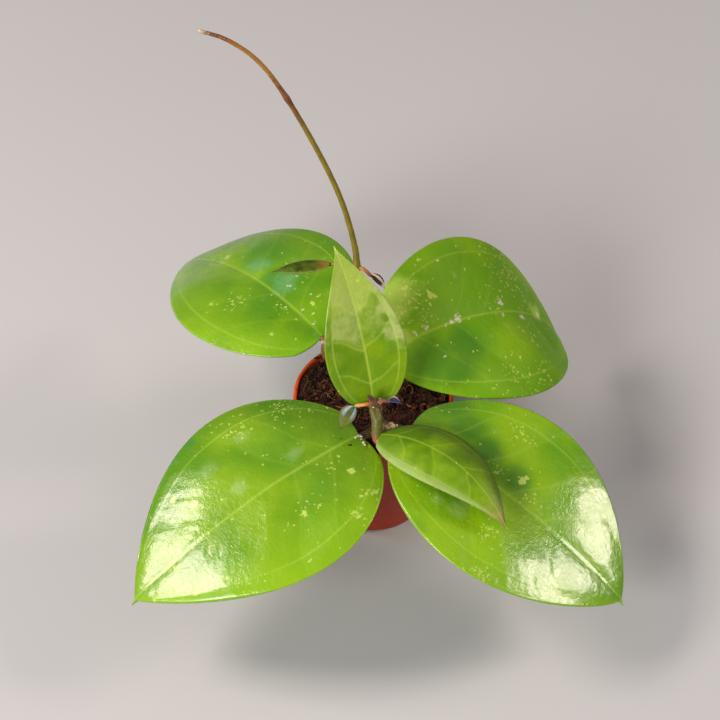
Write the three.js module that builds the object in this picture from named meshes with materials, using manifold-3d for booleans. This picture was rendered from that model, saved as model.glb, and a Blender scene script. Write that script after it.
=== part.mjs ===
// A small potted hoya: two rooted cuttings with ten leaves in a 6 cm terracotta-coloured pot.
// Millimetres and degrees. +Z is up, the plant faces -Y, and the origin is the middle of the
// pot's underside.
import * as THREE from "three";
import { mergeVertices } from "three/addons/utils/BufferGeometryUtils.js";
import Module from "manifold-3d";

const wasm = await Module();
wasm.setup();

// Driving dimensions of the pot and its soil
const GAP = 0.3; // clearance where one piece stands in another
const POT = {
  height: 55,
  rimRadius: 30,
  footRadius: 21,
  footChamfer: 0.8,
  wall: 1.3,
  floor: 2,
  collarHeight: 9,
  collarStep: 1,
  holes: 6,
  holeRadius: 2.6,
  holeRing: 14.5,
  holeSides: 12,
  sides: 48,
};
// The clearance of the soil allows for its flat sides, which reach less far than its corners
const SOIL = { level: 54, mound: 1.1, lumps: 0.6, clearance: 0.36, rings: 6, sides: 36 };

// The blade: half thicknesses at the midrib and at the margin, and the veins that stand proud
const BLADE = { middle: 0.65, margin: 0.4, rib: 0.35, keel: 1.3, lateral: 0.3, lateralAt: 0.8 };
// The drip tip at the end of a blade, kept small on small leaves, and where it hooks down
const TIP = { length: 3, halfWidth: 1, mostLength: 0.08, mostHalfWidth: 0.06, hook: 20, hookFrom: 0.9 };
// The margin sets back at the base by a power of the distance across, and fades along the blade
const LOBE = { across: 1.5, start: 0.03, fade: 4 };
const MIDRIB_PIECES = 200;
const LARGE = { rows: 14, columns: [0, 0.06, 0.2, 0.38, 0.56, 0.72, 0.8, 0.88, 1] };
const SMALL = { rows: 10, columns: [0, 0.09, 0.35, 0.68, 0.8, 0.9, 1] };
const TINY = { rows: 7, columns: [0, 0.35, 0.7, 1] };

// Each leaf starts at its base, on a bearing counted from +X. Its midrib sets out at the angle
// rise and has bent down by droop, and turned by turn, at the tip. Roll and twist tilt it about
// the midrib, fold lifts its two halves, and arch curves them down again. Lobe sets the margin
// back at the base and skew widens the left half. Full rounds the base, and blunt and point shape
// the outer half. The stalk runs from the stem to the base.
const LEAVES = {
  leaf_front_left: {
    base: [-5, -26.3, 61.5],
    bearing: 215, rise: 2, droop: 35, turn: -1, roll: -4, twist: 0,
    length: 104, width: 76.5, fold: 3, arch: 10, lobe: 0.035, skew: 0,
    full: 2.9, blunt: 2.25, point: 0.93,
    grid: LARGE, tint: "#76a424",
    stalk: { from: [2.6, -20, 60], via: [-1.6, -24.2, 60.4], radius: 1.7 },
  },
  leaf_front_right: {
    base: [12.9, -23.9, 60.9],
    bearing: 325.5, rise: -1.5, droop: 39.5, turn: 2, roll: 1, twist: 1,
    length: 102, width: 74, fold: 5, arch: 7.5, lobe: 0.035, skew: 0,
    full: 2.55, blunt: 2.4, point: 0.85,
    grid: LARGE, tint: "#7aa826",
    stalk: { from: [3.4, -19.8, 59.6], via: [8, -21.4, 60.6], radius: 1.7 },
  },
  leaf_back_left: {
    base: [-18.9, 13.3, 72.5],
    bearing: 129, rise: 8, droop: 56, turn: -4, roll: -7, twist: -1,
    length: 106, width: 68.4, fold: 8, arch: 19.5, lobe: 0.035, skew: -0.012,
    full: 2.75, blunt: 2.03, point: 0.96,
    grid: LARGE, tint: "#6f9f2c",
    stalk: { from: [-8, 8.8, 61], via: [-17, 10, 64.8], radius: 1.6 },
  },
  leaf_back_right: {
    base: [5.8, 6.2, 71.8],
    bearing: 29, rise: 12, droop: 82, turn: 17, roll: 27, twist: -2,
    length: 109, width: 68.8, fold: 10, arch: 16, lobe: 0.035, skew: -0.04,
    full: 2.4, blunt: 2.5, point: 0.88,
    grid: LARGE, tint: "#4f7f26",
    stalk: { from: [-7.8, 8.6, 61], via: [0.5, 5.7, 65], radius: 1.6 },
  },
  leaf_centre: {
    base: [-0.2, -18.1, 72.3],
    bearing: 107, rise: 64, droop: 12, turn: 18, roll: -3, twist: -1,
    length: 59, width: 30, fold: 9, arch: 4, lobe: 0.07, skew: 0,
    full: 3, blunt: 1.9, point: 1.1,
    grid: SMALL, tint: "#7ea21c",
    stalk: { from: [0.2, -21.2, 72.2], via: [0, -19.6, 72.3], radius: 1.3 },
  },
  leaf_middle_right: {
    base: [2.7, -30.9, 66.8],
    bearing: 335, rise: 25, droop: 68, turn: -30, roll: -5.5, twist: 3.5,
    length: 62, width: 27.5, fold: -3, arch: 26, lobe: 0.035, skew: 0.06,
    full: 2.75, blunt: 2.1, point: 1.1,
    grid: SMALL, tint: "#86ab26",
    stalk: { from: [0.2, -21.6, 72.2], via: [1.2, -26.8, 71], radius: 2 },
  },
  leaf_young_left: {
    base: [-6.7, -22.5, 72.8],
    bearing: 227, rise: -27, droop: 18, turn: 2, roll: 0, twist: 0,
    length: 9.6, width: 7, fold: 21, arch: 0, lobe: 0, skew: 0,
    full: 2.5, blunt: 2.3, point: 1,
    grid: TINY, tint: "#828771",
    stalk: { from: [-0.2, -21.8, 74], via: [-3.2, -22.4, 73.9], radius: 0.7 },
  },
  leaf_young_right: {
    base: [5.6, -21.2, 74.8],
    bearing: 340, rise: 12, droop: 20, turn: 0, roll: 0, twist: 0,
    length: 4.8, width: 3.4, fold: 34, arch: 0, lobe: 0, skew: 0,
    full: 2.4, blunt: 2, point: 1,
    grid: TINY, tint: "#6d6a86",
    stalk: { from: [0.2, -21.8, 74], via: [2.8, -21.7, 75], radius: 0.7 },
  },
  leaf_vine_left: {
    base: [-15.9, 22.8, 101.3],
    bearing: 197, rise: 9, droop: 4, turn: 6, roll: 13, twist: -16,
    length: 22.8, width: 7.6, fold: 3, arch: 16, lobe: 0, skew: 0,
    full: 1.85, blunt: 2, point: 1.2,
    grid: TINY, tint: "#4a5a20",
    stalk: { from: [-6, 21.8, 100.6], via: [-11, 22, 102.2], radius: 0.7 },
  },
  leaf_vine_right: {
    base: [-0.8, 19.4, 98.6],
    bearing: 332, rise: -25, droop: 25, turn: 2, roll: 13, twist: -3,
    length: 7.4, width: 3.8, fold: 31, arch: 0, lobe: 0, skew: 0,
    full: 2.1, blunt: 2.25, point: 1,
    grid: TINY, tint: "#5a4a26",
    stalk: { from: [-5.8, 21.6, 100.6], via: [-3.4, 20.4, 100.4], radius: 0.7 },
  },
};

// Stems are paths with a radius at each point. A node is a short swelling where leaves grew.
const STEMS = {
  front_cutting: {
    path: [[3.4, -14.8, 38], [3.2, -16.4, 50], [3, -19.4, 59], [6.5, -23, 62.7]],
    radii: [1.7, 1.8, 2.2, 1.5],
    nodes: [[3, -19.4, 59]],
    steps: 18,
  },
  front_shoot: {
    path: [[2.6, -19.4, 58], [1.4, -19.8, 65], [0.2, -21.4, 72.6], [-0.6, -22.8, 77], [-1.8, -24.8, 80.5]],
    radii: [1.9, 1.7, 2, 1.5, 0.9],
    nodes: [[0.2, -21.4, 72.6]],
    steps: 20,
  },
  back_vine: {
    path: [
      [-6, 4.2, 38], [-7.2, 6.4, 50], [-8, 9, 61], [-7.4, 14.6, 78], [-6.2, 21.8, 100.4],
      [-7.4, 25.4, 111], [-11.9, 30.5, 126], [-19.4, 36.1, 142.2], [-30.6, 42.7, 162],
      [-40.2, 47.1, 174.6], [-50.7, 49.6, 182], [-61, 50.7, 185.4],
    ],
    radii: [1.8, 1.9, 2, 1.6, 1.3, 1.05, 1, 0.95, 0.9, 0.8, 0.75, 0.7],
    nodes: [[-8, 9, 61], [-6.2, 21.8, 100.4], [-30.6, 42.7, 162]],
    steps: 52,
  },
};
const STEM = { sides: 10, swelling: 0.28, swellingReach: 2.2 };
// A stalk lies under the midrib by a share of its radius, and ends 14 mm along the blade at most
const STALK = { under: 0.75, reach: 14, most: 0.12, taper: [1.1, 1, 1, 0.9, 0.45] };

const radians = THREE.MathUtils.degToRad;
const mix = THREE.MathUtils.lerp;
const clamp = THREE.MathUtils.clamp;
const point = (place) => new THREE.Vector3(...place);

// A closed solid from a list of corners and triangles
function solidFrom(corners, triangles) {
  const geometry = new THREE.BufferGeometry();
  const flat = corners.flatMap((corner) => corner.toArray());
  geometry.setAttribute("position", new THREE.Float32BufferAttribute(flat, 3));
  geometry.setIndex(triangles);
  return solidOf(geometry);
}

// The same from a geometry, with its shared corners merged
function solidOf(geometry) {
  geometry.deleteAttribute("normal");
  geometry.deleteAttribute("uv");
  const merged = mergeVertices(geometry, 1e-4);
  return new wasm.Manifold(
    new wasm.Mesh({
      numProp: 3,
      vertProperties: merged.attributes.position.array,
      triVerts: new Uint32Array(merged.index.array),
    }),
  );
}

// The largest body of a solid, which drops a scrap left by a cut
function largestBody(solid) {
  const bodies = solid.decompose();
  return bodies.reduce((best, body) => (body.volume() > best.volume() ? body : best));
}

function meshOf(name, solid, colour, roughness) {
  const made = solid.getMesh();
  const geometry = new THREE.BufferGeometry();
  geometry.setAttribute("position", new THREE.BufferAttribute(made.vertProperties, 3));
  geometry.setIndex(new THREE.BufferAttribute(made.triVerts, 1));
  geometry.computeVertexNormals();
  const material = new THREE.MeshStandardMaterial({ color: colour, roughness, metalness: 0 });
  const mesh = new THREE.Mesh(geometry, material);
  mesh.name = name;
  return mesh;
}

// Rings of corners joined side by side and closed by a fan at each end
function solidOfRings(rings) {
  const sides = rings[0].length;
  const corners = rings.flat();
  const triangles = [];
  for (let ring = 0; ring + 1 < rings.length; ring++) {
    for (let side = 0; side < sides; side++) {
      const here = ring * sides + side;
      const next = ring * sides + ((side + 1) % sides);
      triangles.push(here, next, next + sides, here, next + sides, here + sides);
    }
  }
  for (const [first, flip] of [[0, true], [(rings.length - 1) * sides, false]]) {
    const middle = corners.length;
    const centre = new THREE.Vector3();
    for (const corner of corners.slice(first, first + sides)) {
      centre.addScaledVector(corner, 1 / sides);
    }
    corners.push(centre);
    for (let side = 0; side < sides; side++) {
      const a = first + side;
      const b = first + ((side + 1) % sides);
      triangles.push(...(flip ? [middle, b, a] : [middle, a, b]));
    }
  }
  return solidFrom(corners, triangles);
}

// A round stem along a smooth path. Grown makes it fatter and longer, for cutting a hole for it.
function stemSolid({ path, radii, nodes = [], steps, sides = STEM.sides }, grown = 0) {
  const curve = new THREE.CatmullRomCurve3(path.map(point), false, "centripetal");
  const frames = curve.computeFrenetFrames(steps, false);
  const rings = [];
  for (let step = 0; step <= steps; step++) {
    const along = curve.getUtoTmapping(step / steps) * (path.length - 1);
    const before = Math.min(Math.floor(along), path.length - 2);
    const middle = curve.getPointAt(step / steps);
    let radius = mix(radii[before], radii[before + 1], along - before);
    for (const node of nodes) {
      const away = middle.distanceTo(point(node)) / STEM.swellingReach;
      radius *= 1 + STEM.swelling * Math.exp(-away * away);
    }
    if (step === 0) middle.addScaledVector(frames.tangents[step], -grown);
    if (step === steps) middle.addScaledVector(frames.tangents[step], grown);
    const ring = [];
    for (let side = 0; side < sides; side++) {
      const angle = (2 * Math.PI * side) / sides;
      ring.push(
        middle
          .clone()
          .addScaledVector(frames.normals[step], (radius + grown) * Math.cos(angle))
          .addScaledVector(frames.binormals[step], (radius + grown) * Math.sin(angle)),
      );
    }
    rings.push(ring);
  }
  return solidOfRings(rings);
}

// The half width of a blade along its length, as a share of the widest
function outlineOf(leaf) {
  const raw = (v) => Math.sqrt(1 - (1 - v) ** leaf.full) * (1 - v ** leaf.blunt) ** leaf.point;
  let widest = 0;
  for (let piece = 0; piece <= MIDRIB_PIECES; piece++) {
    widest = Math.max(widest, raw(piece / MIDRIB_PIECES));
  }
  return (v) => raw(v) / widest;
}

// The midrib of a leaf: place, direction, side and upward normal at a share v of the length
function midribOf(leaf) {
  const direction = (v) => {
    const hook = TIP.hook * clamp((v - TIP.hookFrom) / (1 - TIP.hookFrom), 0, 1) ** 2;
    const pitch = radians(leaf.rise - leaf.droop * v - hook);
    const heading = radians(leaf.bearing + leaf.turn * v);
    const level = Math.cos(pitch);
    return new THREE.Vector3(
      level * Math.cos(heading),
      level * Math.sin(heading),
      Math.sin(pitch),
    );
  };
  const places = [point(leaf.base)];
  const pieceLength = leaf.length / MIDRIB_PIECES;
  for (let piece = 0; piece < MIDRIB_PIECES; piece++) {
    const step = direction((piece + 0.5) / MIDRIB_PIECES).multiplyScalar(pieceLength);
    places.push(places[piece].clone().add(step));
  }
  return (v) => {
    const inside = clamp(v, 0, 1);
    const along = inside * MIDRIB_PIECES;
    const before = Math.min(Math.floor(along), MIDRIB_PIECES - 1);
    const place = places[before].clone().lerp(places[before + 1], along - before);
    const ahead = direction(inside);
    place.addScaledVector(ahead, (v - inside) * leaf.length);
    const heading = radians(leaf.bearing + leaf.turn * inside);
    const left = new THREE.Vector3(-Math.sin(heading), Math.cos(heading), 0);
    const above = new THREE.Vector3().crossVectors(ahead, left);
    const roll = radians(leaf.roll + leaf.twist * inside);
    const side = left.clone().multiplyScalar(Math.cos(roll)).addScaledVector(above, Math.sin(roll));
    const normal = above.multiplyScalar(Math.cos(roll)).addScaledVector(left, -Math.sin(roll));
    return { place, ahead, side, normal };
  };
}

// One point of the blade's middle surface, at a share u of the half width
function bladePoint(leaf, outline, midrib, u, v) {
  const across = Math.abs(u);
  const started = Math.sqrt(Math.min(1, v / LOBE.start));
  const setBack = leaf.lobe * across ** LOBE.across * started * (1 - v) ** LOBE.fade;
  const at = midrib(v - setBack);
  const tipShare = Math.min(TIP.length / leaf.length, TIP.mostLength);
  const tipHalf = Math.min(TIP.halfWidth, TIP.mostHalfWidth * leaf.width);
  const drip = tipHalf * Math.min(1, (1 - v) / tipShare) * v;
  const even = (outline(Math.min(1, v / (1 - tipShare))) * leaf.width) / 2 + drip;
  const half = even * (1 + leaf.skew * Math.sign(u));
  const lean = radians(leaf.fold - (leaf.arch * across) / 2);
  const spread = at.place.clone();
  spread.addScaledVector(at.side, u * half * Math.cos(lean));
  spread.addScaledVector(at.normal, across * half * Math.sin(lean));
  return { place: spread, normal: at.normal, half };
}

// The blade: an upper and a lower sheet with the same triangles, joined round the margin. The
// columns run along the veins from base to tip, so the midrib and the two laterals are ridges.
function bladeSolid(leaf) {
  const outline = outlineOf(leaf);
  const midrib = midribOf(leaf);
  const columns = [...leaf.grid.columns.slice(1).reverse().map((u) => -u), ...leaf.grid.columns];
  const large = leaf.grid !== TINY;
  const rows = leaf.grid.rows;
  const corners = [];
  const sheets = [1, -1].map((face) => {
    const sheet = [];
    for (let row = 0; row <= rows; row++) {
      const v = Math.sin((Math.PI * row) / rows / 2) ** 2;
      const line = [];
      for (const u of columns) {
        const pole = row === 0 || row === rows;
        if (pole && line.length) {
          line.push(line[0]);
          continue;
        }
        const at = bladePoint(leaf, outline, midrib, pole ? 0 : u, v);
        let thick = mix(BLADE.middle, BLADE.margin, Math.abs(u));
        if (pole) thick = BLADE.margin;
        else if (large && u === 0) {
          thick += face > 0 ? BLADE.rib * (1 - v) : BLADE.keel * (1 - v);
        } else if (large && Math.abs(u) === BLADE.lateralAt) {
          thick += face > 0 ? BLADE.lateral * Math.sin(Math.PI * v) : 0;
        }
        line.push(corners.length);
        corners.push(at.place.addScaledVector(at.normal, face * thick));
      }
      sheet.push(line);
    }
    return sheet;
  });
  const triangles = [];
  const addTriangle = (a, b, c) => {
    if (a !== b && b !== c && c !== a) triangles.push(a, b, c);
  };
  const [upper, lower] = sheets;
  for (let row = 0; row < rows; row++) {
    for (let column = 0; column + 1 < columns.length; column++) {
      const corner = (sheet, r, c) => sheet[row + r][column + c];
      addTriangle(corner(upper, 0, 0), corner(upper, 1, 1), corner(upper, 0, 1));
      addTriangle(corner(upper, 0, 0), corner(upper, 1, 0), corner(upper, 1, 1));
      addTriangle(corner(lower, 0, 0), corner(lower, 0, 1), corner(lower, 1, 1));
      addTriangle(corner(lower, 0, 0), corner(lower, 1, 1), corner(lower, 1, 0));
    }
    for (const [column, flip] of [[0, false], [columns.length - 1, true]]) {
      const [a, b] = [upper[row][column], upper[row + 1][column]];
      const [c, d] = [lower[row + 1][column], lower[row][column]];
      if (flip) {
        addTriangle(a, b, c);
        addTriangle(a, c, d);
      } else {
        addTriangle(a, c, b);
        addTriangle(a, d, c);
      }
    }
  }
  return solidFrom(corners, triangles);
}

// The stalk: from the stem to the base of the blade, then sunk along the underside of the midrib
function stalkSolid(leaf) {
  const { from, via, radius } = leaf.stalk;
  const midrib = midribOf(leaf);
  const under = (v) => {
    const at = midrib(v);
    return at.place.addScaledVector(at.normal, -radius * STALK.under).toArray();
  };
  const sunk = [-radius / leaf.length, 0.02, Math.min(STALK.reach / leaf.length, STALK.most)];
  return stemSolid({
    path: [from, via, ...sunk.map(under)],
    radii: STALK.taper.map((share) => share * radius),
    steps: leaf.grid === TINY ? 7 : 9,
    sides: leaf.grid === TINY ? 6 : 8,
  });
}

// The outside of the pot's wall, a cone that steps out by the collar
const collarFrom = POT.height - POT.collarHeight;
function wallRadius(z) {
  const slope = (POT.rimRadius - POT.collarStep - POT.footRadius) / POT.height;
  return POT.footRadius + slope * z + clamp(z - collarFrom, 0, POT.collarStep);
}

// The pot: a tapered cup with a deeper collar, a round lip, a flat foot and drain holes
function potSolid() {
  const steps = [collarFrom, collarFrom + POT.collarStep];
  const outside = [0, POT.footRadius - POT.footChamfer]
    .map((radius) => new THREE.Vector2(radius, 0))
    .concat([POT.footChamfer, ...steps].map((z) => new THREE.Vector2(wallRadius(z), z)));
  const lip = [];
  for (let turn = 0; turn <= 4; turn++) {
    const angle = (Math.PI * turn) / 4;
    const radius = POT.rimRadius + (POT.wall / 2) * (Math.cos(angle) - 1);
    lip.push(new THREE.Vector2(radius, POT.height + (POT.wall / 2) * (Math.sin(angle) - 1)));
  }
  const inside = [...steps.reverse(), POT.floor]
    .map((z) => new THREE.Vector2(wallRadius(z) - POT.wall, z))
    .concat(new THREE.Vector2(0, POT.floor));
  const lathe = new THREE.LatheGeometry([...outside, ...lip, ...inside], POT.sides);
  lathe.rotateX(Math.PI / 2);
  let pot = solidOf(lathe);
  for (let hole = 0; hole < POT.holes; hole++) {
    const angle = (2 * Math.PI * hole) / POT.holes;
    const depth = 3 * POT.floor;
    const cutter = new THREE.CylinderGeometry(POT.holeRadius, POT.holeRadius, depth, POT.holeSides);
    cutter.rotateX(Math.PI / 2);
    cutter.translate(POT.holeRing * Math.cos(angle), POT.holeRing * Math.sin(angle), 0);
    pot = pot.subtract(solidOf(cutter));
  }
  return pot;
}

// The height of the soil's lumpy top, a low mound with sums of waves
function soilTop(x, y) {
  const share = Math.hypot(x, y) / POT.rimRadius;
  const lump =
    Math.sin(0.61 * x + 1.3) * Math.cos(0.53 * y - 0.4) +
    0.6 * Math.sin(1.17 * x - 0.9 * y + 2.1) +
    0.4 * Math.cos(1.9 * y + 1.4 * x);
  return SOIL.level + SOIL.mound * (1 - share * share) + SOIL.lumps * lump;
}

// The soil fills the pot, and has a plain hole for each stem
function soilSolid(stems) {
  const inner = (z) => wallRadius(z) - POT.wall - SOIL.clearance;
  const ring = (radius, heightAt) => {
    const corners = [];
    for (let side = 0; side < SOIL.sides; side++) {
      const angle = (2 * Math.PI * side) / SOIL.sides;
      const [x, y] = [radius * Math.cos(angle), radius * Math.sin(angle)];
      corners.push(new THREE.Vector3(x, y, heightAt(x, y)));
    }
    return corners;
  };
  const levels = [POT.floor + GAP, collarFrom, collarFrom + POT.collarStep];
  const rings = levels.map((z) => ring(inner(z), () => z));
  for (let count = SOIL.rings; count > 0; count--) {
    rings.push(ring((inner(SOIL.level) * count) / SOIL.rings, soilTop));
  }
  let soil = solidOfRings(rings);
  for (const stem of stems) soil = soil.subtract(stemSolid(stem, GAP));
  return largestBody(soil);
}

const plant = new THREE.Group();
plant.name = "potted_hoya";
plant.add(meshOf("pot", potSolid(), "#c4491c", 0.45));
plant.add(meshOf("soil", soilSolid([STEMS.front_cutting, STEMS.back_vine]), "#2b1a11", 0.95));

const frontStem = stemSolid(STEMS.front_cutting).add(stemSolid(STEMS.front_shoot));
plant.add(meshOf("stem_front", frontStem, "#6d6238", 0.6));
plant.add(meshOf("stem_back", stemSolid(STEMS.back_vine), "#736a30", 0.6));

// A stalk meets its stem in a saddle that clears it all round
const stemSpace = stemSolid(STEMS.front_cutting, GAP)
  .add(stemSolid(STEMS.front_shoot, GAP))
  .add(stemSolid(STEMS.back_vine, GAP));
for (const [name, leaf] of Object.entries(LEAVES)) {
  const grown = bladeSolid(leaf).add(stalkSolid(leaf));
  plant.add(meshOf(name, largestBody(grown.subtract(stemSpace)), leaf.tint, 0.35));
}

export default plant;
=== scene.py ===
# %% [markdown]
# A potted hoya, dressed for a photograph.
# The plant is two rooted cuttings in a 6 cm nursery pot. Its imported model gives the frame: every
# piece made here grows in the same place, and stands for one of the plain solids. Sizes are in
# millimetres until a mesh is finished, because leaves and crumbs are easier to think of that way.

import math
import random

import bmesh
import bpy
import numpy as np
from mathutils import Matrix, Vector, noise


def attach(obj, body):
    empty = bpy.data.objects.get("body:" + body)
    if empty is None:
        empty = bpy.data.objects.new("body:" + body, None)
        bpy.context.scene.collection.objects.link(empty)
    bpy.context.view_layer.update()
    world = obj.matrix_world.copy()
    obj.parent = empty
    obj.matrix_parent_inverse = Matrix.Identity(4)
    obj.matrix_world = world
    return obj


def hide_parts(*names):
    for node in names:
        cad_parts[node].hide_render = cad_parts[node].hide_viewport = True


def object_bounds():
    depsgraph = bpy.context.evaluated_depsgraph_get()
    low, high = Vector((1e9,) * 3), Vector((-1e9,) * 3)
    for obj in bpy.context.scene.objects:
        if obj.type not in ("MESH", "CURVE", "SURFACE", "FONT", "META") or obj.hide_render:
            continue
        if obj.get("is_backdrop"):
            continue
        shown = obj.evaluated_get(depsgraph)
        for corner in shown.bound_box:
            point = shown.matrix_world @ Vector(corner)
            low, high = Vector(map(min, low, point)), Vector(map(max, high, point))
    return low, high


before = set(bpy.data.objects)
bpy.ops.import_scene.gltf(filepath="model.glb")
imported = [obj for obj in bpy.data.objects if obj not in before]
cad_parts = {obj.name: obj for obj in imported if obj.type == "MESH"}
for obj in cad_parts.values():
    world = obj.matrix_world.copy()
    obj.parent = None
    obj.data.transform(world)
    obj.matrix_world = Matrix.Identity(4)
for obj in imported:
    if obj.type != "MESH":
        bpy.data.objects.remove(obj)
cad_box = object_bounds()
MM = 0.001


def in_mm(place, digits=0):
    return [round(c / MM, digits) for c in place]


print("The solids reach from", in_mm(cad_box[0]), "to", in_mm(cad_box[1]))

# %% [markdown]
# The camera looks down on the plant at 46 degrees with a long lens, so that the leaves keep their
# true proportions. It aims a little beside the middle of the pot's rim, because the rim sits right
# of the middle of the photograph and below it.

# %% The camera
CAMERA = {
    "lens": 100, "sensor": 36, "down": 46, "distance": 750, "rim": (0, 0, 55), "aside": -4.875,
    "above": 13.09,
}


def stand(name, data):
    """Puts a new object with these data in the scene."""
    thing = bpy.data.objects.new(name, data)
    bpy.context.scene.collection.objects.link(thing)
    return thing


def stand_camera():
    tilt = math.radians(CAMERA["down"])
    back = Vector((0, -math.cos(tilt), math.sin(tilt))) * CAMERA["distance"]
    up = Vector((0, math.sin(tilt), math.cos(tilt))) * CAMERA["above"]
    data = bpy.data.cameras.new("camera")
    data.lens, data.sensor_width = CAMERA["lens"], CAMERA["sensor"]
    camera = stand("camera", data)
    camera.location = (Vector(CAMERA["rim"]) + back + up + Vector((CAMERA["aside"], 0, 0))) * MM
    camera.rotation_euler = (math.radians(90) - tilt, 0, 0)
    bpy.context.scene.camera = camera
    return camera


print("The camera stands at", in_mm(stand_camera().location))

# %% [markdown]
# Four small helpers serve every material. Colours are noted as sRGB hex, as a colour picker shows
# them, and one function turns them to the linear values that the shader adds up. The next adds a
# node, sets or links its inputs, and gives back its output, ready to link to the next node. Inputs
# go by name, or in their order: a Map Range takes a value, the two ends it lies between, and two new
# ends. The third starts a material, and the last lays colours over one another, as a painter does.

# %% Colours and nodes
PER_METRE = 1000  # a pattern's scale is this over its size in mm


def linear(code):
    shares = [int(code[at : at + 2], 16) / 255 for at in (1, 3, 5)]
    return (*(s / 12.92 if s <= 0.04045 else ((s + 0.055) / 1.055) ** 2.4 for s in shares), 1)


def put(tree, kind, inputs=(), out=None, **settings):
    """Adds a node and gives its first output, or the one that out names."""
    node = tree.nodes.new("ShaderNode" + kind)
    for name, value in settings.items():
        setattr(node, name, value)
    for key, value in inputs.items() if isinstance(inputs, dict) else enumerate(inputs):
        named = (socket for socket in node.inputs if socket.enabled and socket.name == key)
        socket = node.inputs[key] if isinstance(key, int) else next(named)
        if isinstance(value, bpy.types.NodeSocket):
            tree.links.new(value, socket)
        else:
            socket.default_value = value
    return node.outputs[out] if out else next(socket for socket in node.outputs if socket.enabled)


def new_material(name, roughness, ior=1.45, **sockets):
    """A material with its principled shader, and the sockets that are the same all over."""
    material = bpy.data.materials.new(name)
    material.use_nodes = True
    shader = material.node_tree.nodes["Principled BSDF"]
    for socket, value in {"Roughness": roughness, "IOR": ior, **sockets}.items():
        shader.inputs[socket.replace("_", " ")].default_value = value
    return material, material.node_tree, shader


def paint(tree, shader, colour, coats, **surface):
    """Lays coats over a first colour, each by its factor, and links them and the surface to the shader."""
    for factor, code in coats:
        colour = put(tree, "Mix", {"Factor": factor, "A": colour, "B": linear(code)}, data_type="RGBA")
    for socket, output in {"Base Color": colour, **surface}.items():
        tree.links.new(output, shader.inputs[socket])


print("A mid grey of #808080 is", round(linear("#808080")[0], 3), "in linear light")

# %% [markdown]
# The floor is a plain pale sheet, wide enough to fill the view. The key light is a softbox low in
# front and a little to the left: the middle right leaf throws its shadow up and to the right in
# the photograph, which only a light below the camera does. Two more softboxes stand on either
# side, and each drooping leaf tip mirrors the one on its own side as a white patch. A dim grey
# world fills the rest, and keeps the greens deep, because a leaf mirrors it too.

# %% Floor and light
FLOOR = {"size": 8000, "colours": ("#b6b7bb", "#bcbdc0")}
LAMPS = {
    "front_softbox": dict(place=(-880, -1220, 860), size=(600, 600), watts=28.5, colour="#fffaf2"),
    "left_softbox": dict(place=(-836, 20, 924), size=(440, 350), watts=9.4, colour="#ffeee2"),
    "right_softbox": dict(place=(1020, 60, 740), size=(280, 290), watts=5.8, colour="#ffeee2"),
}
PLANT_MIDDLE = (0, 0, 60)
WORLD = {"colour": "#c6c6c6", "strength": 0.28}


def mesh_of(bm, name):
    """Makes a mesh with smooth faces of a bmesh, and lets the bmesh go."""
    for face in bm.faces:
        face.smooth = True
    mesh = bpy.data.meshes.new(name)
    bm.to_mesh(mesh)
    bm.free()
    return mesh


def lay_floor():
    bm = bmesh.new()
    bmesh.ops.create_grid(bm, x_segments=1, y_segments=1, size=FLOOR["size"] * MM / 2)
    floor = stand("floor", mesh_of(bm, "floor"))
    paper, tree, shader = new_material("matt_paper", 0.85)
    cloud = put(tree, "TexNoise", {"Vector": put(tree, "TexCoord", out="Object"), "Scale": 3.0})
    paint(tree, shader, linear(FLOOR["colours"][0]), [(cloud, FLOOR["colours"][1])])
    floor.data.materials.append(paper)
    floor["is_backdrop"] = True


def hang_light(name, place, size, watts, colour):
    data = bpy.data.lights.new(name, "AREA")
    data.shape = "RECTANGLE"
    data.size, data.size_y = size[0] * MM, size[1] * MM
    data.energy, data.color = watts, linear(colour)[:3]
    light = stand(name, data)
    light.location = Vector(place) * MM
    light.rotation_euler = (Vector(PLANT_MIDDLE) - Vector(place)).to_track_quat("-Z", "Y").to_euler()


lay_floor()
for name, lamp in LAMPS.items():
    hang_light(name, **lamp)
world = bpy.data.worlds.new("studio")
world.use_nodes = True
sky = world.node_tree.nodes["Background"].inputs
sky["Color"].default_value, sky["Strength"].default_value = linear(WORLD["colour"]), WORLD["strength"]
bpy.context.scene.world = world
bpy.context.scene.view_settings.view_transform = "Standard"
print("Lit by", len(LAMPS), "lamps")

# %% [markdown]
# Almost everything on a plant is a skin round a line: a blade, a stalk, a stem, a root. So one
# helper makes them all. It starts from an even grid, bends every corner of it to its place, and
# then merges the corners that meet, which closes the skin along its seam and at both ends.

# %% A grid bent into a closed skin
TOUCHING = 1e-6  # corners closer than this, in metres, are one


def finish_piece(name, mesh, material, slot, *nodes):
    """Puts a finished mesh in the scene, riding on the plant, and hides the solids that it stands for."""
    piece = stand(name, mesh)
    mesh.materials.append(material)
    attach(piece, "root")
    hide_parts(*nodes)
    print(name, "has", sum(len(face.vertices) - 2 for face in mesh.polygons), "triangles")


def weld(bm):
    """Merges the corners that meet, and then turns every face out."""
    bmesh.ops.remove_doubles(bm, verts=bm.verts, dist=TOUCHING)
    bmesh.ops.recalc_face_normals(bm, faces=bm.faces)


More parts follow.
